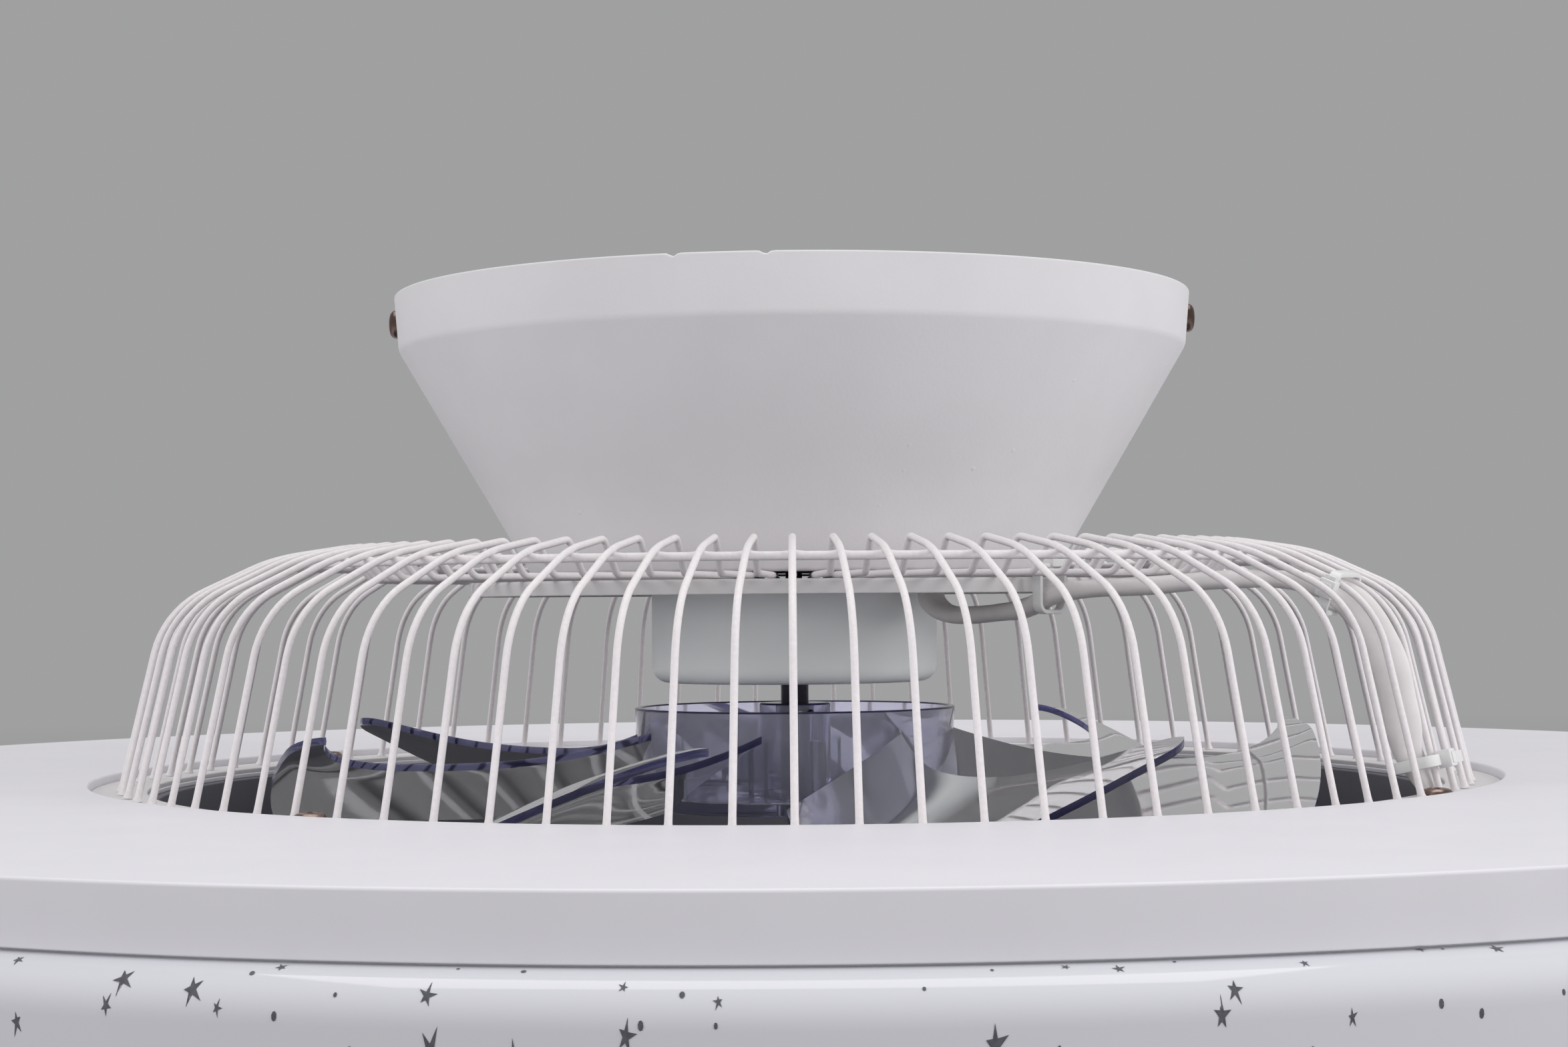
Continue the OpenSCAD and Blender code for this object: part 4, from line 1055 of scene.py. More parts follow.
@dataclass
class FanWheel:
    """Clear wheel: a drum with a boss, ribs and seven hooked blades, in one moulding.

    Azimuths are those of the blade that is built first. A drop is measured down from
    the drum's top, and a slope is millimetres a degree. The rib's heights are counted
    from the drum's floor and from its top.
    """

    hub_r: float = 40.5
    floor_r: float = 38.0
    top: float = -103.0
    floor: float = -128.3
    wall: float = 1.8
    floor_t: float = 3.0
    boss_r: float = 9.0
    boss_rise: float = 0.9
    bore_r: float = 3.55
    rim_band: float = 0.4
    blade_count: int = 7
    tip_r: float = 130.5
    corner_cut: float = 5.5
    cut_share: float = 0.16
    blade_t: float = 1.8
    edge_round: float = 0.5
    edge_share: float = 0.4
    lead_root: float = 40.6
    lead_tip: float = 43.2
    root_turn: float = 44.0
    tip_turn: float = 34.0
    hollow: float = 18.0
    root_drop: float = 5.4
    root_slope: float = 0.404
    tip_drop: float = 4.0
    tip_slope: float = 0.92
    tip_ease: float = 4.0
    cup: float = 30.0
    rib_az: float = 31.0
    rib_low: Spot = (-1.2, -13.0, 0.5)
    rib_high: Spot = (1.2, -8.0, -9.3)
    grub_az: float = 26.0
    grub_drop: float = 1.6
    grub_r: float = 1.05
    grub_reach: tuple[float, float] = (2.6, 11.0)
    sharp: float = 40.0

    def hub(self) -> Shape:
        """Drum, floor and boss as one turned outline with fillets.

        Returns:
            The drum, its upper rim in the edge finish, whose dark violet paints the rim's shade, and the rest
            in the drum's.
        """
        over, boss_top = self.floor + self.floor_t, self.top + self.boss_rise
        inner = self.hub_r_at(over) - self.wall
        hub = revolved(rounded([
            (self.bore_r, self.floor, 0.2), (self.floor_r, self.floor, 0.8), (self.hub_r, self.top, 0.5),
            (self.hub_r - self.wall, self.top, 0.4), (inner, over, 1.5), (self.boss_r, over, 1.6),
            (self.boss_r, boss_top, 0.5), (self.bore_r, boss_top, 0.3)], steps=8), 180)
        heights = hub.points[np.array(hub.faces)][:, :, 2].mean(1)
        on_rim = heights > self.top - self.rim_band
        # The rim band takes the edge finish, whose dark violet is painted shade.
        hub.marks = np.where(on_rim, WheelSkin.PAINTED_SHADE_EDGE.value, WheelSkin.DRUM.value).tolist()
        return hub

    def hub_r_at(self, z: float | np.ndarray) -> float | np.ndarray:
        """The drum's outer radius at a height."""
        return self.floor_r + (self.hub_r - self.floor_r) * (z - self.floor) / (self.top - self.floor)

    def blade(self, chord: int = 30, span: int = 40) -> Shape:
        """One blade, as a sheet over u (leading to trailing edge) and v (hub to tip).

        Azimuth runs from a leading edge, hollowed by hollow * (1 - (1 - v) ** 4) *
        (1 - v ** 9), to a straight trailing one. The height blends a straight fall at
        the hub into a steeper one at the tip, slope * f ** 2 / (f + ease) over the turn
        f, and is cupped upwards by cup * v ** 3 * (1 - v). The tip's leading corner is
        cut back by cut * (1 - u / share) ** 2. The underside lies one thickness lower,
        and all edges are rounded by pulling the border of the grid in.

        Args:
            chord: Steps over u.
            span: Steps over v.

        Returns:
            The closed blade.
        """
        u = (1 - np.cos(math.pi * np.linspace(0, 1, chord + 1))) / 2
        v = np.sin(math.pi / 2 * np.linspace(0, 1, span + 1))
        u, v = np.meshgrid(u, v, indexing="ij")
        lead = self.lead_root + (self.lead_tip - self.lead_root) * v
        lead = lead - self.hollow * (1 - (1 - v) ** 4) * (1 - v ** 9)
        trail = self.lead_root - self.root_turn
        trail = trail + (self.lead_tip - self.tip_turn - trail) * v
        azimuth = lead + (trail - lead) * u
        fall = np.maximum(0, self.lead_tip - azimuth)
        at_root = self.top - self.root_drop - self.root_slope * (self.lead_root - azimuth)
        at_tip = self.top - self.tip_drop - self.tip_slope * fall * fall / (fall + self.tip_ease)
        middle = at_root * (1 - v) + at_tip * v + self.cup * v ** 3 * (1 - v) - self.blade_t / 2
        tip = self.tip_r - self.corner_cut * np.maximum(0, 1 - u / self.cut_share) ** 2
        a = np.radians(azimuth)
        sheets = []
        for side in (1, -1):
            z = middle + side * self.blade_t / 2
            inner = self.hub_r_at(z) - self.wall / 2
            r = inner + (tip - inner) * v
            sheets.append(np.stack([r * np.sin(a), -r * np.cos(a), z], 2))
        return self.closed_sheet(np.array(sheets))

    def closed_sheet(self, sheets: np.ndarray) -> Shape:
        """Joins an upper and a lower grid along their borders by a rounded rim.

        The rim has three rows round the border: the two borders, drawn in by a small
        step, and their middle line at the full size.

        Args:
            sheets: 2 by rows by columns by 3 points.

        Returns:
            The closed shape, its rim in the edge finish, whose dark violet paints the cut edge's shade.
        """
        chord, span = sheets.shape[1] - 1, sheets.shape[2] - 1
        loop = [(i, 0) for i in range(chord)] + [(chord, j) for j in range(span)]
        loop += [(i, span) for i in range(chord, 0, -1)] + [(0, j) for j in range(span, 0, -1)]
        li, lj = np.array(loop).T
        centre = (sheets[0] + sheets[1]) / 2
        points = np.concatenate([sheets.reshape(-1, 3), centre[li, lj]])
        count = (chord + 1) * (span + 1)
        faces = grid_faces(chord + 1, span + 1, False, False)
        faces += [[count + k for k in f[::-1]] for f in faces]
        border = li * (span + 1) + lj
        middle = 2 * count + np.arange(len(loop))
        next_border, next_middle = np.roll(border, -1), np.roll(middle, -1)
        rim = np.stack([next_border, border, middle, next_middle], 1).tolist()
        rim += np.stack([next_middle, middle, count + border, count + next_border], 1).tolist()
        self.pull_in(points, sheets, li, lj)
        # The rim takes the edge finish: painted shade of the cut edge.
        marks = [WheelSkin.BLADE.value] * len(faces) + [WheelSkin.PAINTED_SHADE_EDGE.value] * len(rim)
        return Shape(points, faces + rim, marks).outward()

    def pull_in(self, points: np.ndarray, sheets: np.ndarray, li: np.ndarray, lj: np.ndarray) -> None:
        """Rounds the cut edge: border points of both sheets move a step into the blade.

        The step is edge_round, but at most edge_share of the way to the next row. The
        root stays, because it lies in the drum's wall.

        Args:
            points: All points of the blade, changed in place.
            sheets: 2 by rows by columns by 3 points.
            li: Row of each border point.
            lj: Column of each border point.
        """
        rows, columns = sheets.shape[1:3]
        ni, nj = np.clip(li, 1, rows - 2), np.clip(lj, 1, columns - 2)
        free = lj > 0
        for start, sheet in zip((0, rows * columns), sheets):
            inward = sheet[ni, nj] - sheet[li, lj]
            length = np.linalg.norm(inward, axis=1, keepdims=True)
            step = np.minimum(self.edge_round, self.edge_share * length) / np.maximum(length, 1e-6)
            index = start + li * columns + lj
            points[index[free]] += (inward * step)[free]

    def rib(self, azimuth: float) -> Shape:
        """An upright rib on the boss, from above the floor to below the top."""
        low, high = self.rib_low, self.rib_high
        return block((*low[:2], self.floor + low[2]), (*high[:2], self.top + high[2])).turned(azimuth)

    def grub_drill(self) -> Shape:
        """The cutter of the threaded side hole in the boss, with a pin-wide core.

        Returns:
            A bar that lies along the hole.
        """
        pin, r = 0.2, self.grub_r
        near, far = self.grub_reach
        bar = revolved(rounded([(pin, near, 0), (r, near, 0), (r, far, 0), (pin, far, 0)]), 24)
        lay = Matrix.Rotation(math.radians(self.grub_az), 4, "Z") @ Matrix.Rotation(math.pi / 2, 4, "X")
        return bar.moved(Matrix.Translation((0, 0, self.top - self.grub_drop)) @ lay)

    def build(self) -> None:
        """Fuses hub, blades and ribs, drills the grub hole and makes the piece."""
        finishes = [CLEAR, CLEAR_EDGE_PAINTED_SHADE, CLEAR_HUB]
        wheel = make_object("clear_wheel", self.hub(), finishes, self.sharp)
        step = 360 / self.blade_count
        extras = [self.blade().turned(k * step) for k in range(self.blade_count)]
        extras += [self.rib(self.rib_az + 90 * k) for k in range(4)]
        added = make_object("wheel_blades", joined(extras), finishes, self.sharp)
        drill = make_object("grub_drill", self.grub_drill(), [CLEAR])
        for tool, operation in ((added, "UNION"), (drill, "DIFFERENCE")):
            cut = wheel.modifiers.new("fuse", "BOOLEAN")
            cut.object = tool
            cut.operation = operation
            cut.solver = "EXACT"
        bpy.context.view_layer.update()
        solved = wheel.evaluated_get(bpy.context.evaluated_depsgraph_get())
        fused = bpy.data.meshes.new_from_object(solved)
        wheel.modifiers.clear()
        wheel.data = fused
        for tool in (added, drill):
            bpy.data.objects.remove(tool)
        smooth(fused, self.sharp)
        place_piece(wheel, Body.ROTOR, ("fan_wheel",))


# ---- light ring -----------------------------------------------------------


@dataclass
class LightRing:
    """Metal ring body, dark inner wall and printed diffuser.

    The stars lie in cells of one size; star_play and turn_play are how far one may
    leave the middle of its cell, as a share of it. On the shoulder, where the sheet
    was drawn down, stars are longer along the arc: by drawn, most at drawn_at along
    it, and over drawn_over.
    """

    rim_r: float = 290.0
    plate: float = -119.0
    rim_h: float = 11.3
    recess_r: float = 173.4
    sheet: float = 1.2
    seat_in: float = 159.2
    seat: float = -122.2
    wall_r: float = 158.6
    wall_top_r: float = 171.4
    wall_foot: float = 8.0
    wall_bottom: float = -187.0
    lamp_bottom: float = -194.0
    neck_r: float = 288.5
    neck_top: float = -123.7
    shoulder: float = -130.7
    belly_r: float = 297.5
    belly_low_r: float = 295.0
    lip_r: float = 158.9
    lip_top: float = -172.0
    diffuser_t: float = 2.0
    print_margin: float = 0.7
    star_cell: float = 9.5
    star_share: float = 0.72
    star_play: float = 0.42
    turn_play: float = 0.4
    star_sizes: tuple[float, ...] = (0.28, 0.42, 0.8, 1.05, 1.4, 1.8)
    star_odds: tuple[float, ...] = (0.22, 0.18, 0.2, 0.2, 0.13, 0.07)
    dot_under: float = 0.6
    waist: float = 0.34
    arm_change: float = 0.22
    drawn: float = 1.1
    drawn_at: float = 16.0
    drawn_over: float = 9.0
    print_lift: float = 0.07
    seed: int = 5

    def chassis(self) -> Shape:
        """Flat plate with a turned-down rim and a recess for the cage's flange.

        Returns:
            The ring body.
        """
        t, rim, outer = self.sheet, self.plate - self.rim_h, self.rim_r
        recess, plate, seat = self.recess_r, self.plate, self.seat
        return revolved(rounded([
            (self.seat_in, seat - t, 0.3), (recess + t, seat - t, 0.6), (recess + t, plate - t, 0.3),
            (outer - t, plate - t, 0.6), (outer - t, rim, 0.2), (outer, rim, 0.35), (outer, plate, 0.7),
            (recess, plate, 0.6), (recess, seat, 0.3), (self.seat_in, seat, 0.3)]), 480)

    def inner_wall(self) -> Shape:
        """Upright wall with a top flange and a foot for the guard.

        Returns:
            The wall.
        """
        t, top, low = self.sheet, self.seat - self.sheet, self.wall_bottom
        r, foot = self.wall_r, self.wall_r - self.wall_foot
        return revolved(rounded([
            (r - t, top, 0.5), (self.wall_top_r, top, 0.3), (self.wall_top_r, top - t, 0.3),
            (r, top - t, 0.3), (r, low, 0.8), (foot, low, 0.3), (foot, low + t, 0.3),
            (r - t, low + t, 0.6)]), 240)

    def diffuser(self) -> Shape:
        """Neck, round shoulder, drafted side, round lower edge, flat bottom and inner lip.

        Returns:
            The diffuser.
        """
        t, low, neck, lip = self.diffuser_t, self.lamp_bottom, self.neck_r, self.lip_r
        return revolved(rounded([
            (neck, self.neck_top, 0.3), (neck, self.shoulder, 0.2), (self.belly_r, self.shoulder, 8),
            (self.belly_low_r, low, 16), (lip, low, 10), (lip, self.lip_top, 0.5),
            (lip + t, self.lip_top, 0.5), (lip + t, low + t, 8), (self.belly_low_r - t, low + t, 14),
            (self.belly_r - t, self.shoulder - t, 6), (neck - t, self.shoulder - t, 0.5),
            (neck - t, self.neck_top, 0.3)], steps=10), 480)

    def outer_face(self) -> np.ndarray:
        """The diffuser's printed face as (radius, height) points, from neck to inner lip.

        Returns:
            Array of n by 2 points.
        """
        low, top = self.lamp_bottom, self.shoulder
        corners = [(self.neck_r + self.print_margin, top, 0), (self.belly_r, top, 8),
                   (self.belly_low_r, low, 16), (self.lip_r, low, 10), (self.lip_r, self.lip_top, 0)]
        return rounded(corners, closed=False, steps=16)

    def stars(self) -> Shape:
        """Small printed stars and dots, spread evenly but not in rows.

        The face is cut into cells by (arc length, distance round), and most cells hold
        one star or dot of a drawn size, off the cell's middle.

        Returns:
            All stars and dots.
        """
        rng = np.random.default_rng(self.seed)
        line = self.outer_face()
        along = lengths_along(line)
        cell = self.star_cell
        shapes = []
        for row in range(int(along[-1] // cell)):
            middle = (row + 0.5) * cell
            radius = float(np.interp(middle, along, line[:, 0]))
            count = int(FULL_TURN * radius / cell)
            keep = rng.random(count) < self.star_share
            arc = middle + rng.uniform(-self.star_play, self.star_play, count) * cell
            place = np.arange(count) + rng.uniform(-self.turn_play, self.turn_play, count)
            turn = place / count * FULL_TURN
            size = rng.choice(self.star_sizes, count, p=self.star_odds)
            spin = rng.uniform(0, FULL_TURN, count)
            for k in np.flatnonzero(keep):
                shapes.append(self.star(line, along, arc[k], turn[k], size[k], spin[k]))
        return joined(shapes)

    def star(self, line: np.ndarray, along: np.ndarray, arc: float, turn: float,
             size: float, spin: float) -> Shape:
        """One star with thin, slightly uneven arms, or a dot if it is small.

        Its outline has a centre and a row half way out. It is laid flat in (arc length,
        distance round) and carried onto the revolved face, just clear of it.

        Args:
            line: The printed face's (radius, height) points.
            along: The arc length to each.
            arc: Arc length to the star's middle.
            turn: The middle's angle round the axis, in radians.
            size: Reach of its arms.
            spin: Its own turn, in radians.

        Returns:
            The star as an open sheet.
        """
        dot = size < self.dot_under
        n = 8 if dot else 10
        k = np.arange(n)
        arm = 1 + self.arm_change * np.sin(k * 2.4 + spin * 7)
        reach = size * (np.ones(n) if dot else np.where(k % 2, self.waist, arm))
        a = spin + FULL_TURN * k / n
        stretch = 1 + self.drawn * math.exp(-((arc - self.drawn_at) / self.drawn_over) ** 2)
        ring = np.stack([reach * np.cos(a), reach * np.sin(a)], 1)
        flat = np.concatenate([ring, ring * 0.5, [[0, 0]]])
        inset, ahead = 0.4, 0.5
        s = np.clip(arc + flat[:, 0] * stretch, inset, along[-1] - inset)
        r, z = np.interp(s, along, line[:, 0]), np.interp(s, along, line[:, 1])
        dr = np.interp(s + ahead, along, line[:, 0]) - r
        dz = np.interp(s + ahead, along, line[:, 1]) - z
        lift = self.print_lift / (np.hypot(dr, dz) + 1e-9)
        r, z = r - dz * lift, z + dr * lift
        angle = turn + flat[:, 1] / r
        points = np.stack([r * np.sin(angle), -r * np.cos(angle), z], 1)
        faces = [[i, (i + 1) % n, n + (i + 1) % n, n + i] for i in range(n)]
        faces += [[n + i, n + (i + 1) % n, 2 * n] for i in range(n)]
        return Shape(points, faces)

    def build(self) -> None:
        """Makes ring body, wall, diffuser and stars."""
        add_piece("ring_body", self.chassis(), RING_PAINT, ("lamp_chassis",), 60)
        add_piece("well_wall", self.inner_wall(), WALL_PAINT, ("inner_wall",), 60)
        add_piece("opal_diffuser", self.diffuser(), OPAL, ("diffuser",), 60)
        add_piece("printed_stars", self.stars(), STAR_INK)


# ---- wiring ---------------------------------------------------------------


@dataclass(frozen=True)
class TiePlace:
    """Where a cable tie sits.

    Attributes:
        knot: The route's point that it goes round.
        out: How far it is moved outwards from there.
        round_by: How far it is moved round, in degrees.
        up: How far it is moved up.
        lean: Its turn about the level line across the sleeve, in degrees.
        inner: Clear width and depth of its band.
        near_side: Whether its head sits on the band's near side, not its outer one.
    """

    knot: int
    out: float
    round_by: float
    up: float
    lean: float
    inner: tuple[float, float]
    near_side: bool


@dataclass
class Wiring:
    """The flat sleeve from the canopy to the light ring, and the ties that hold it.

    A point of the route is (radius, azimuth, height, turn of the broad side in
    degrees, share of the full width there).
    """

    width: float = 8.4
    thickness: float = 4.4
    groove: float = 0.1
    groove_width: float = 1.1
    swell: float = 0.03
    route: tuple[tuple[float, float, float, float, float], ...] = (
        (43.5, 50, -66, 0, 1), (43.5, 50, -73, 0, 1), (44.2, 49.5, -76.5, 0, 1), (47.5, 48.6, -79, 0, 1),
        (52.5, 47.4, -80.1, 0, 1), (58, 46.3, -80.2, 0, 1), (64, 45.4, -79.9, 0, 1),
        (70, 44.5, -79.5, 0, 1), (76, 43.6, -79, 0, 0.95), (82, 43.2, -77.6, 0, 0.82),
        (86, 43.3, -75.9, 0, 0.75), (91, 44.2, -74.7, 0, 0.82), (96, 45.8, -74.2, 0, 0.95),
        (102, 47.6, -73.9, 0, 1), (108, 49.6, -73.6, 0, 1), (114, 51.6, -73, 0, 1),
        (120, 53.6, -72.5, 0, 1), (126, 55.4, -72.3, 0, 1), (131, 56.5, -72.4, 0, 1),
        (136, 57.3, -73, 15, 1), (140.5, 57.7, -74, 40, 0.95), (144.5, 57.86, -75.5, 60, 0.9),
        (148.4, 57.86, -78.2, 70, 0.95), (152, 57.86, -82.3, 70, 1), (154.7, 57.86, -87, 70, 1),
        (156.6, 57.86, -92, 70, 1), (157.8, 57.95, -97, 70, 1), (158.6, 58.15, -102, 65, 1),
        (159, 58.6, -107, 55, 0.95), (159.2, 59.3, -111.5, 40, 0.85), (160.7, 60.2, -115.5, 20, 0.8),
        (162.2, 60.8, -119, 5, 0.8), (162.6, 60.9, -122, 0, 0.8), (162.6, 60.9, -127, 0, 0.8))
    tie_places: tuple[TiePlace, ...] = (
        TiePlace(10, 0, 0, 1.8, -90, (7.3, 9.7), False),
        TiePlace(21, 0.5, 0, -0.15, -67, (13.2, 8.2), True),
        TiePlace(30, 0.3, -0.3, 1.4, -13.3, (8.7, 8.9), False))
    band_t: float = 1.0
    band_w: float = 2.6
    band_corner: float = 2.1
    head_h: float = 3.4
    tail_start: float = 3.0
    tail_length: float = 8.0
    short_tail: float = 1.2
    tooth: float = 0.16

    def centre_line(self, fine: int = 4) -> tuple[np.ndarray, np.ndarray, np.ndarray]:
        """A Catmull-Rom curve through the route.

        Args:
            fine: Steps from one point of the route to the next.

        Returns:
            The curve's points, the broad side's turn in radians, and the pinch.
        """
        knots = np.array(self.route, float)
        places = np.array([polar(r, a, z) for r, a, z, *_ in self.route])
        values = np.concatenate([places, (knots[:, 1] - knots[:, 3])[:, None], knots[:, 4:]], 1)
        padded = np.concatenate([2 * values[:1] - values[1:2], values, 2 * values[-1:] - values[-2:-1]])
        t = np.linspace(0, 1, fine, endpoint=False)[None, :, None]
        p0, p1, p2, p3 = (padded[k:len(padded) - 3 + k, None] for k in range(4))
        curve = 0.5 * (2 * p1 + (p2 - p0) * t + (2 * p0 - 5 * p1 + 4 * p2 - p3) * t ** 2
                       + (3 * p1 - p0 - 3 * p2 + p3) * t ** 3)
        curve = np.concatenate([curve.reshape(-1, values.shape[1]), values[-1:]])
        return curve[:, :3], np.radians(curve[:, 3]), curve[:, 4]

    def sleeve(self, sides: int = 28) -> Shape:
        """The sleeve, a soft-cornered flat tube.

        Section = (|cos| ** 0.8, |sin| ** 0.8) ellipse with a shallow groove along both
        broad sides, where it lies between the conductors, and slow swelling.

        Args:
            sides: Points round the section.

        Returns:
            The sleeve.
        """
        line, lean, pinch = self.centre_line()
        heading = unit(np.gradient(line, axis=0))
        across = np.stack([np.cos(lean), np.sin(lean), 0 * lean], 1)
        across = unit(across - heading * (across * heading).sum(1)[:, None])
        up = np.cross(heading, across)
        c, s = np.cos(angles(sides)), np.sin(angles(sides))
        x = np.sign(c) * abs(c) ** 0.8 * self.width / 2
        hollow = 1 - self.groove * np.exp(-(x / self.groove_width) ** 2)
        y = np.sign(s) * abs(s) ** 0.8 * self.thickness / 2 * hollow
        swell = 1 - self.swell * (1 + np.sin(np.arange(len(line)) * 0.55))[:, None]
        section = np.stack([x * swell * pinch[:, None], y * swell], 2)
        return swept(line, across, up, section)

    def tie(self, inner: tuple[float, float], near_side: bool) -> Shape:
        """One cable tie in its own plane: band, locking head and toothed tail.

        The band's section is a flat rounded strip. The tail's thickness goes up and
        down as a saw along its length.

        Args:
            inner: Clear width and depth of the band.
            near_side: Whether the head sits on the band's near side, with a short tail.

        Returns:
            The tie round the origin, its plane at z = 0.
        """
        t, w, corner = self.band_t, self.band_w, self.band_corner
        hx, hy = (inner[0] + t) / 2, (inner[1] + t) / 2
        path = rounded([(hx, -hy, corner), (hx, hy, corner), (-hx, hy, corner), (-hx, -hy, corner)], steps=8)
        strip = rounded([(t / 2, w / 2, 0.3), (-t / 2, w / 2, 0.3), (-t / 2, -w / 2, 0.3),
                         (t / 2, -w / 2, 0.3)], steps=2)
        out = (inner[0] if near_side else inner[1]) / 2
        top = -out - self.head_h
        length = self.short_tail if near_side else self.tail_length
        head = soft_block((-1, top, -w / 2 - 0.7), (3.2, -out - 0.1, w / 2 + 0.7), 0.45)
        hood = soft_block((-0.4, top - 0.35, -w / 2), (2.4, top + 0.6, w / 2), 0.25)
        steps = np.linspace(self.tail_start, self.tail_start + length, max(8, int(length * 6)))
        saw = 0.5 - self.tooth * (np.arange(len(steps)) % 2)
        zero, one = 0 * steps, 1 + 0 * steps
        line = np.stack([steps, zero + top + 1.5, zero], 1)
        up, across = np.stack([zero, one, zero], 1), np.stack([zero, zero, one], 1)
        flat = np.array([[1, -1], [1, 1], [-1, 1], [-1, -1]]) * np.array([w / 2, 1])
        tail = swept(line, across, up, flat[None] * np.stack([one, saw], 1)[:, None])
        ends = joined([head, hood, tail])
        if near_side:
            ends = ends.moved(Matrix.Rotation(-math.pi / 2, 4, "Z"))
        return joined([looped(path, strip), ends])

    def ties(self) -> Shape:
        """The three ties, each stood up and turned at its point of the route.

        Returns:
            The ties.
        """
        placed = []
        for place in self.tie_places:
            r, azimuth, z, *_ = self.route[place.knot]
            spot = polar(r + place.out, azimuth + place.round_by, z + place.up)
            stand = Matrix.Rotation(math.radians(azimuth + place.round_by), 4, "Z")
            tilt = Matrix.Rotation(math.radians(place.lean), 4, "X")
            tie = self.tie(place.inner, place.near_side)
            placed.append(tie.moved(Matrix.Translation(spot) @ stand @ tilt))
        return joined(placed)

    def build(self) -> None:
        """Makes the sleeve and its ties."""
        add_piece("wiring_tube", self.sleeve(), SLEEVE, ("wiring_sleeve",), 60)
        add_piece("nylon_ties", self.ties(), NYLON, ("cable_ties",), 40)


# ---- stage ----------------------------------------------------------------


def seen_directly(tree: bpy.types.NodeTree) -> bpy.types.NodeSocket:
    """Tells what camera, gloss and clear plastic look at from what only lights.

    Args:
        tree: The material's or world's nodes.

    Returns:
        A socket that is 1 for such rays and 0 for others.
    """
    rays = tree.nodes.new("ShaderNodeLightPath")
    seen = rays.outputs["Is Camera Ray"]
    for name in ("Is Glossy Ray", "Is Transmission Ray"):
        either = tree.nodes.new("ShaderNodeMath")
        either.operation = "MAXIMUM"
        tree.links.new(seen, either.inputs[0])
        tree.links.new(rays.outputs[name], either.inputs[1])
        seen = either.outputs[0]
    return seen


@dataclass(frozen=True)
class Lamp:
    """A softbox that faces the fan, in metres and watts.

    Attributes:
        name: Its name.
        place: Where it hangs.
        size: Width and height.
        power: Watts.
        mirrored: Whether gloss shows the softbox itself.
    """

    name: str
    place: Spot
    size: tuple[float, float]
    power: float
    mirrored: bool = False

    def build(self, target: Spot) -> None:
        """Hangs the softbox.

        Args:
            target: What it faces.
        """
        data = bpy.data.lights.new(self.name, "AREA")
        data.shape = "RECTANGLE"
        data.size, data.size_y = self.size
        data.energy = self.power
        lamp = bpy.data.objects.new(self.name, data)
        lamp.location = self.place
        lamp.visible_glossy = self.mirrored
        lamp.rotation_euler = (Vector(target) - Vector(self.place)).to_track_quat("-Z", "Y").to_euler()
        bpy.context.scene.collection.objects.link(lamp)


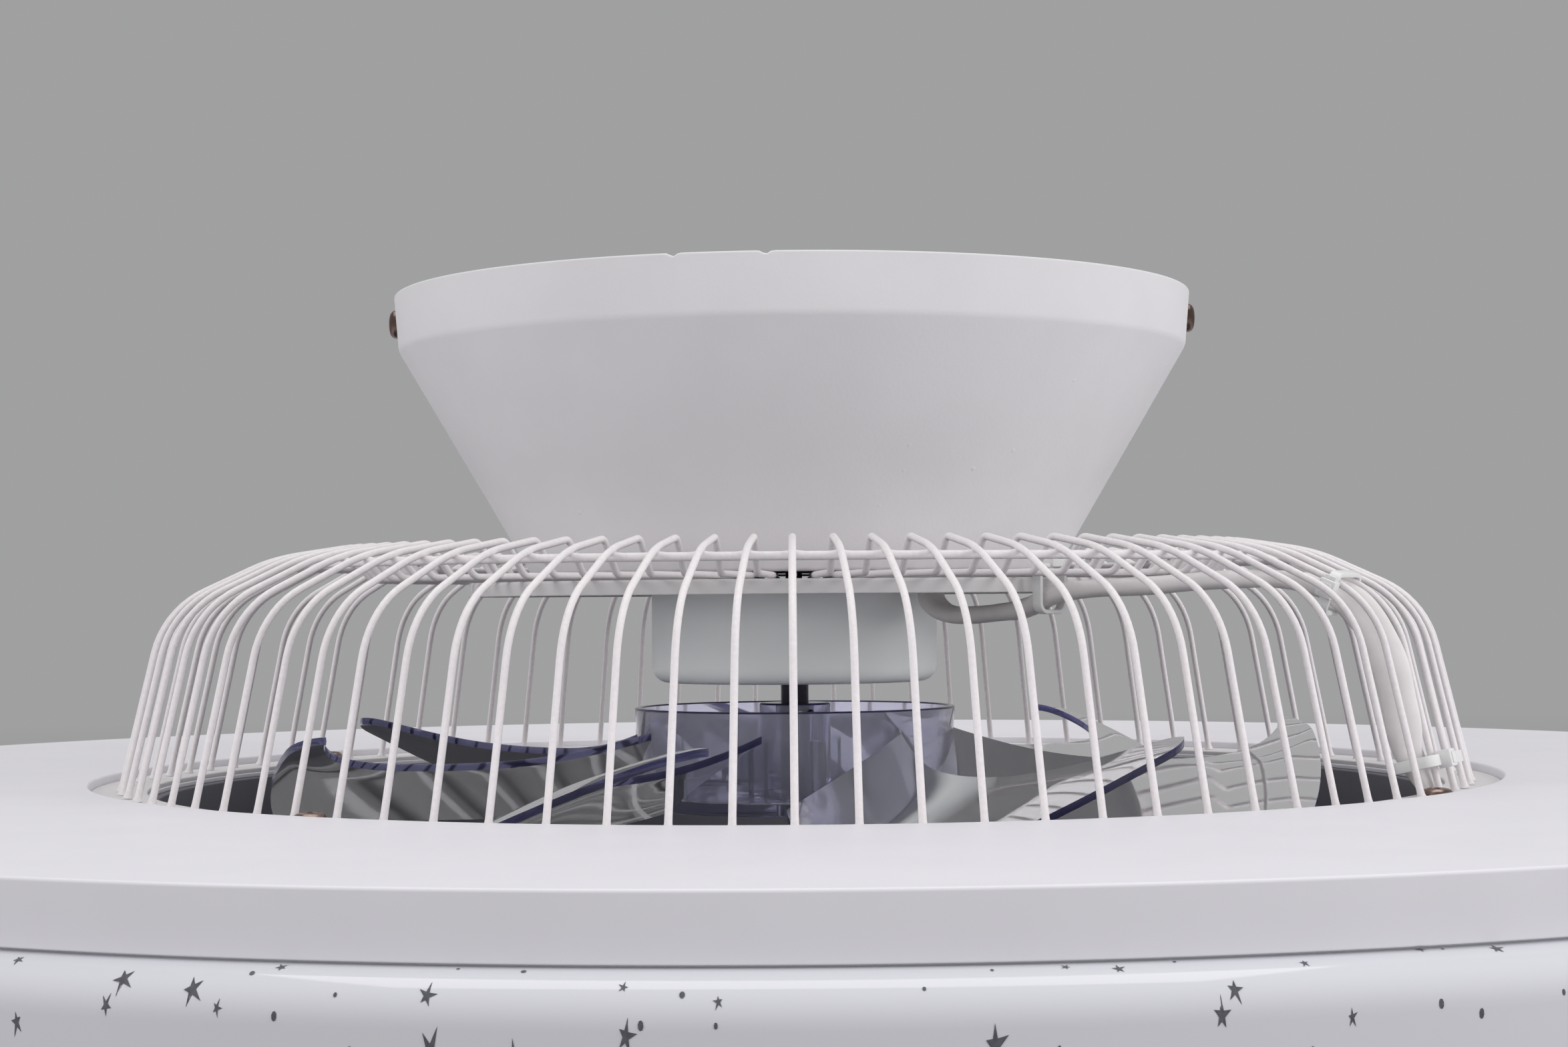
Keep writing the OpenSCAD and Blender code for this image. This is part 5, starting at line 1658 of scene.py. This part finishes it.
@dataclass
class Studio:
    """Pale floor and backdrop, soft lamps and the camera, in metres and radians."""

    floor_z: float = -0.1942
    floor_half: float = 40.0
    backdrop: Colour = (160, 160, 161)
    floor_colour: Colour = (172, 172, 173)
    bounce_colour: Colour = (72, 72, 73)
    fade_from: float = 0.7
    fade_to: float = 2.2
    sky: float = 0.46
    camera_place: Spot = (0.0, -0.697, -0.0768)
    pitch: float = -0.0287
    yaw: float = -0.0034
    roll: float = -0.0082
    sensor_mm: float = 36.0
    lens_mm: float = 63.14
    centre: Spot = (0.0, 0.0, -0.1)
    lamps: tuple[Lamp, ...] = (
        Lamp("left_softbox", (-1.9, -1.0, 0.6), (1.2, 1.6), 19),
        Lamp("right_softbox", (1.9, -0.9, 0.5), (1.2, 1.6), 27),
        Lamp("front_softbox", (0.1, -2.2, 0.0), (1.6, 0.5), 5),
        Lamp("top_softbox", (0.0, 0.3, 1.8), (1.8, 1.8), 16, mirrored=True))

    def floor_material(self) -> bpy.types.Material:
        """Pale matt floor that fades into the surroundings' even level further out.

        Near the object the floor is lit and takes its shadow, and it throws back less
        light than its colour would. From fade_from to fade_to metres out, what camera,
        gloss and clear plastic see turns to the level colour.

        Returns:
            The material.
        """
        nodes = Nodes("studio_floor")
        seen = seen_directly(nodes.tree)
        shown = nodes.blend(seen, linear(self.bounce_colour), linear(self.floor_colour))
        nodes.link(shown, nodes.shader.inputs["Base Color"])
        nodes.set_all(Roughness=0.9)
        glow = nodes.add("ShaderNodeEmission", Color=linear(self.backdrop), Strength=1.0)
        away = nodes.add("ShaderNodeVectorMath", operation="LENGTH")
        nodes.link(nodes.place, away.inputs[0])
        far = nodes.spread(away.outputs["Value"], self.fade_from, self.fade_to)
        part = nodes.add("ShaderNodeMath", operation="MULTIPLY")
        nodes.link(seen, part.inputs[0])
        nodes.link(far, part.inputs[1])
        mix = nodes.add("ShaderNodeMixShader")
        for socket, source in zip(mix.inputs, (part, nodes.shader, glow)):
            nodes.link(source.outputs[0], socket)
        nodes.link(mix.outputs[0], nodes.output.inputs["Surface"])
        return nodes.material

    def floor(self) -> None:
        """Lays a floor that runs out flat in a wide square."""
        size, z = self.floor_half, self.floor_z
        mesh = bpy.data.meshes.new("studio_floor")
        corners = [(-size, -size, z), (size, -size, z), (size, size, z), (-size, size, z)]
        mesh.from_pydata(corners, [], [(0, 1, 2, 3)])
        mesh.materials.append(self.floor_material())
        floor = bpy.data.objects.new("studio_floor", mesh)
        bpy.context.scene.collection.objects.link(floor)

    def world(self) -> None:
        """Sets even pale surroundings, at the level colour where they are seen."""
        world = bpy.data.worlds.new("studio_world")
        world.use_nodes = True
        tree = world.node_tree
        light = tree.nodes["Background"]
        light.inputs["Color"].default_value = (1, 1, 1, 1)
        light.inputs["Strength"].default_value = self.sky
        shown = tree.nodes.new("ShaderNodeBackground")
        shown.inputs["Color"].default_value = linear(self.backdrop)
        mix = tree.nodes.new("ShaderNodeMixShader")
        tree.links.new(seen_directly(tree), mix.inputs[0])
        tree.links.new(light.outputs[0], mix.inputs[1])
        tree.links.new(shown.outputs[0], mix.inputs[2])
        tree.links.new(mix.outputs[0], tree.nodes["World Output"].inputs["Surface"])
        bpy.context.scene.world = world

    def camera(self) -> None:
        """Sets the photograph's viewpoint, below the cage's shoulder and nearly level."""
        pitch, yaw, roll = self.pitch, self.yaw, self.roll
        forward = Vector((math.sin(yaw) * math.cos(pitch), math.cos(yaw) * math.cos(pitch), -math.sin(pitch)))
        right = Vector((math.cos(yaw), -math.sin(yaw), 0))
        up = right.cross(forward)
        side = right * math.cos(roll) + up * math.sin(roll)
        top = up * math.cos(roll) - right * math.sin(roll)
        data = bpy.data.cameras.new("photo_camera")
        data.sensor_width = self.sensor_mm
        data.lens = self.lens_mm
        data.clip_start = 0.01
        camera = bpy.data.objects.new("photo_camera", data)
        axes = Matrix((side, top, -forward)).transposed().to_4x4()
        camera.matrix_world = Matrix.Translation(self.camera_place) @ axes
        bpy.context.scene.collection.objects.link(camera)
        bpy.context.scene.camera = camera

    def build(self) -> None:
        """Sets up camera, floor, surroundings and lamps."""
        self.camera()
        self.floor()
        self.world()
        for lamp in self.lamps:
            lamp.build(self.centre)
        bpy.context.scene.view_settings.view_transform = "Standard"


def dress_cad_nodes(nodes: dict[str, bpy.types.Object]) -> None:
    """Gives the CAD nodes that stay their finishes.

    Args:
        nodes: The frame's objects by name.
    """
    for name, finish in CAD_FINISHES.items():
        for slot in nodes[name].material_slots:
            slot.material = finish.material()


def main() -> None:
    """Builds camera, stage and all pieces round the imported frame."""
    logging.basicConfig(level=logging.INFO, format="%(message)s")
    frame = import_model()
    Studio().build()
    dress_cad_nodes(frame["nodes"])
    for part in (Canopy(), Motor(), Cage(), FanWheel(), LightRing(), Wiring()):
        part.build()
        LOG.info("built %s", type(part).__name__)


if __name__ == "__main__":
    main()
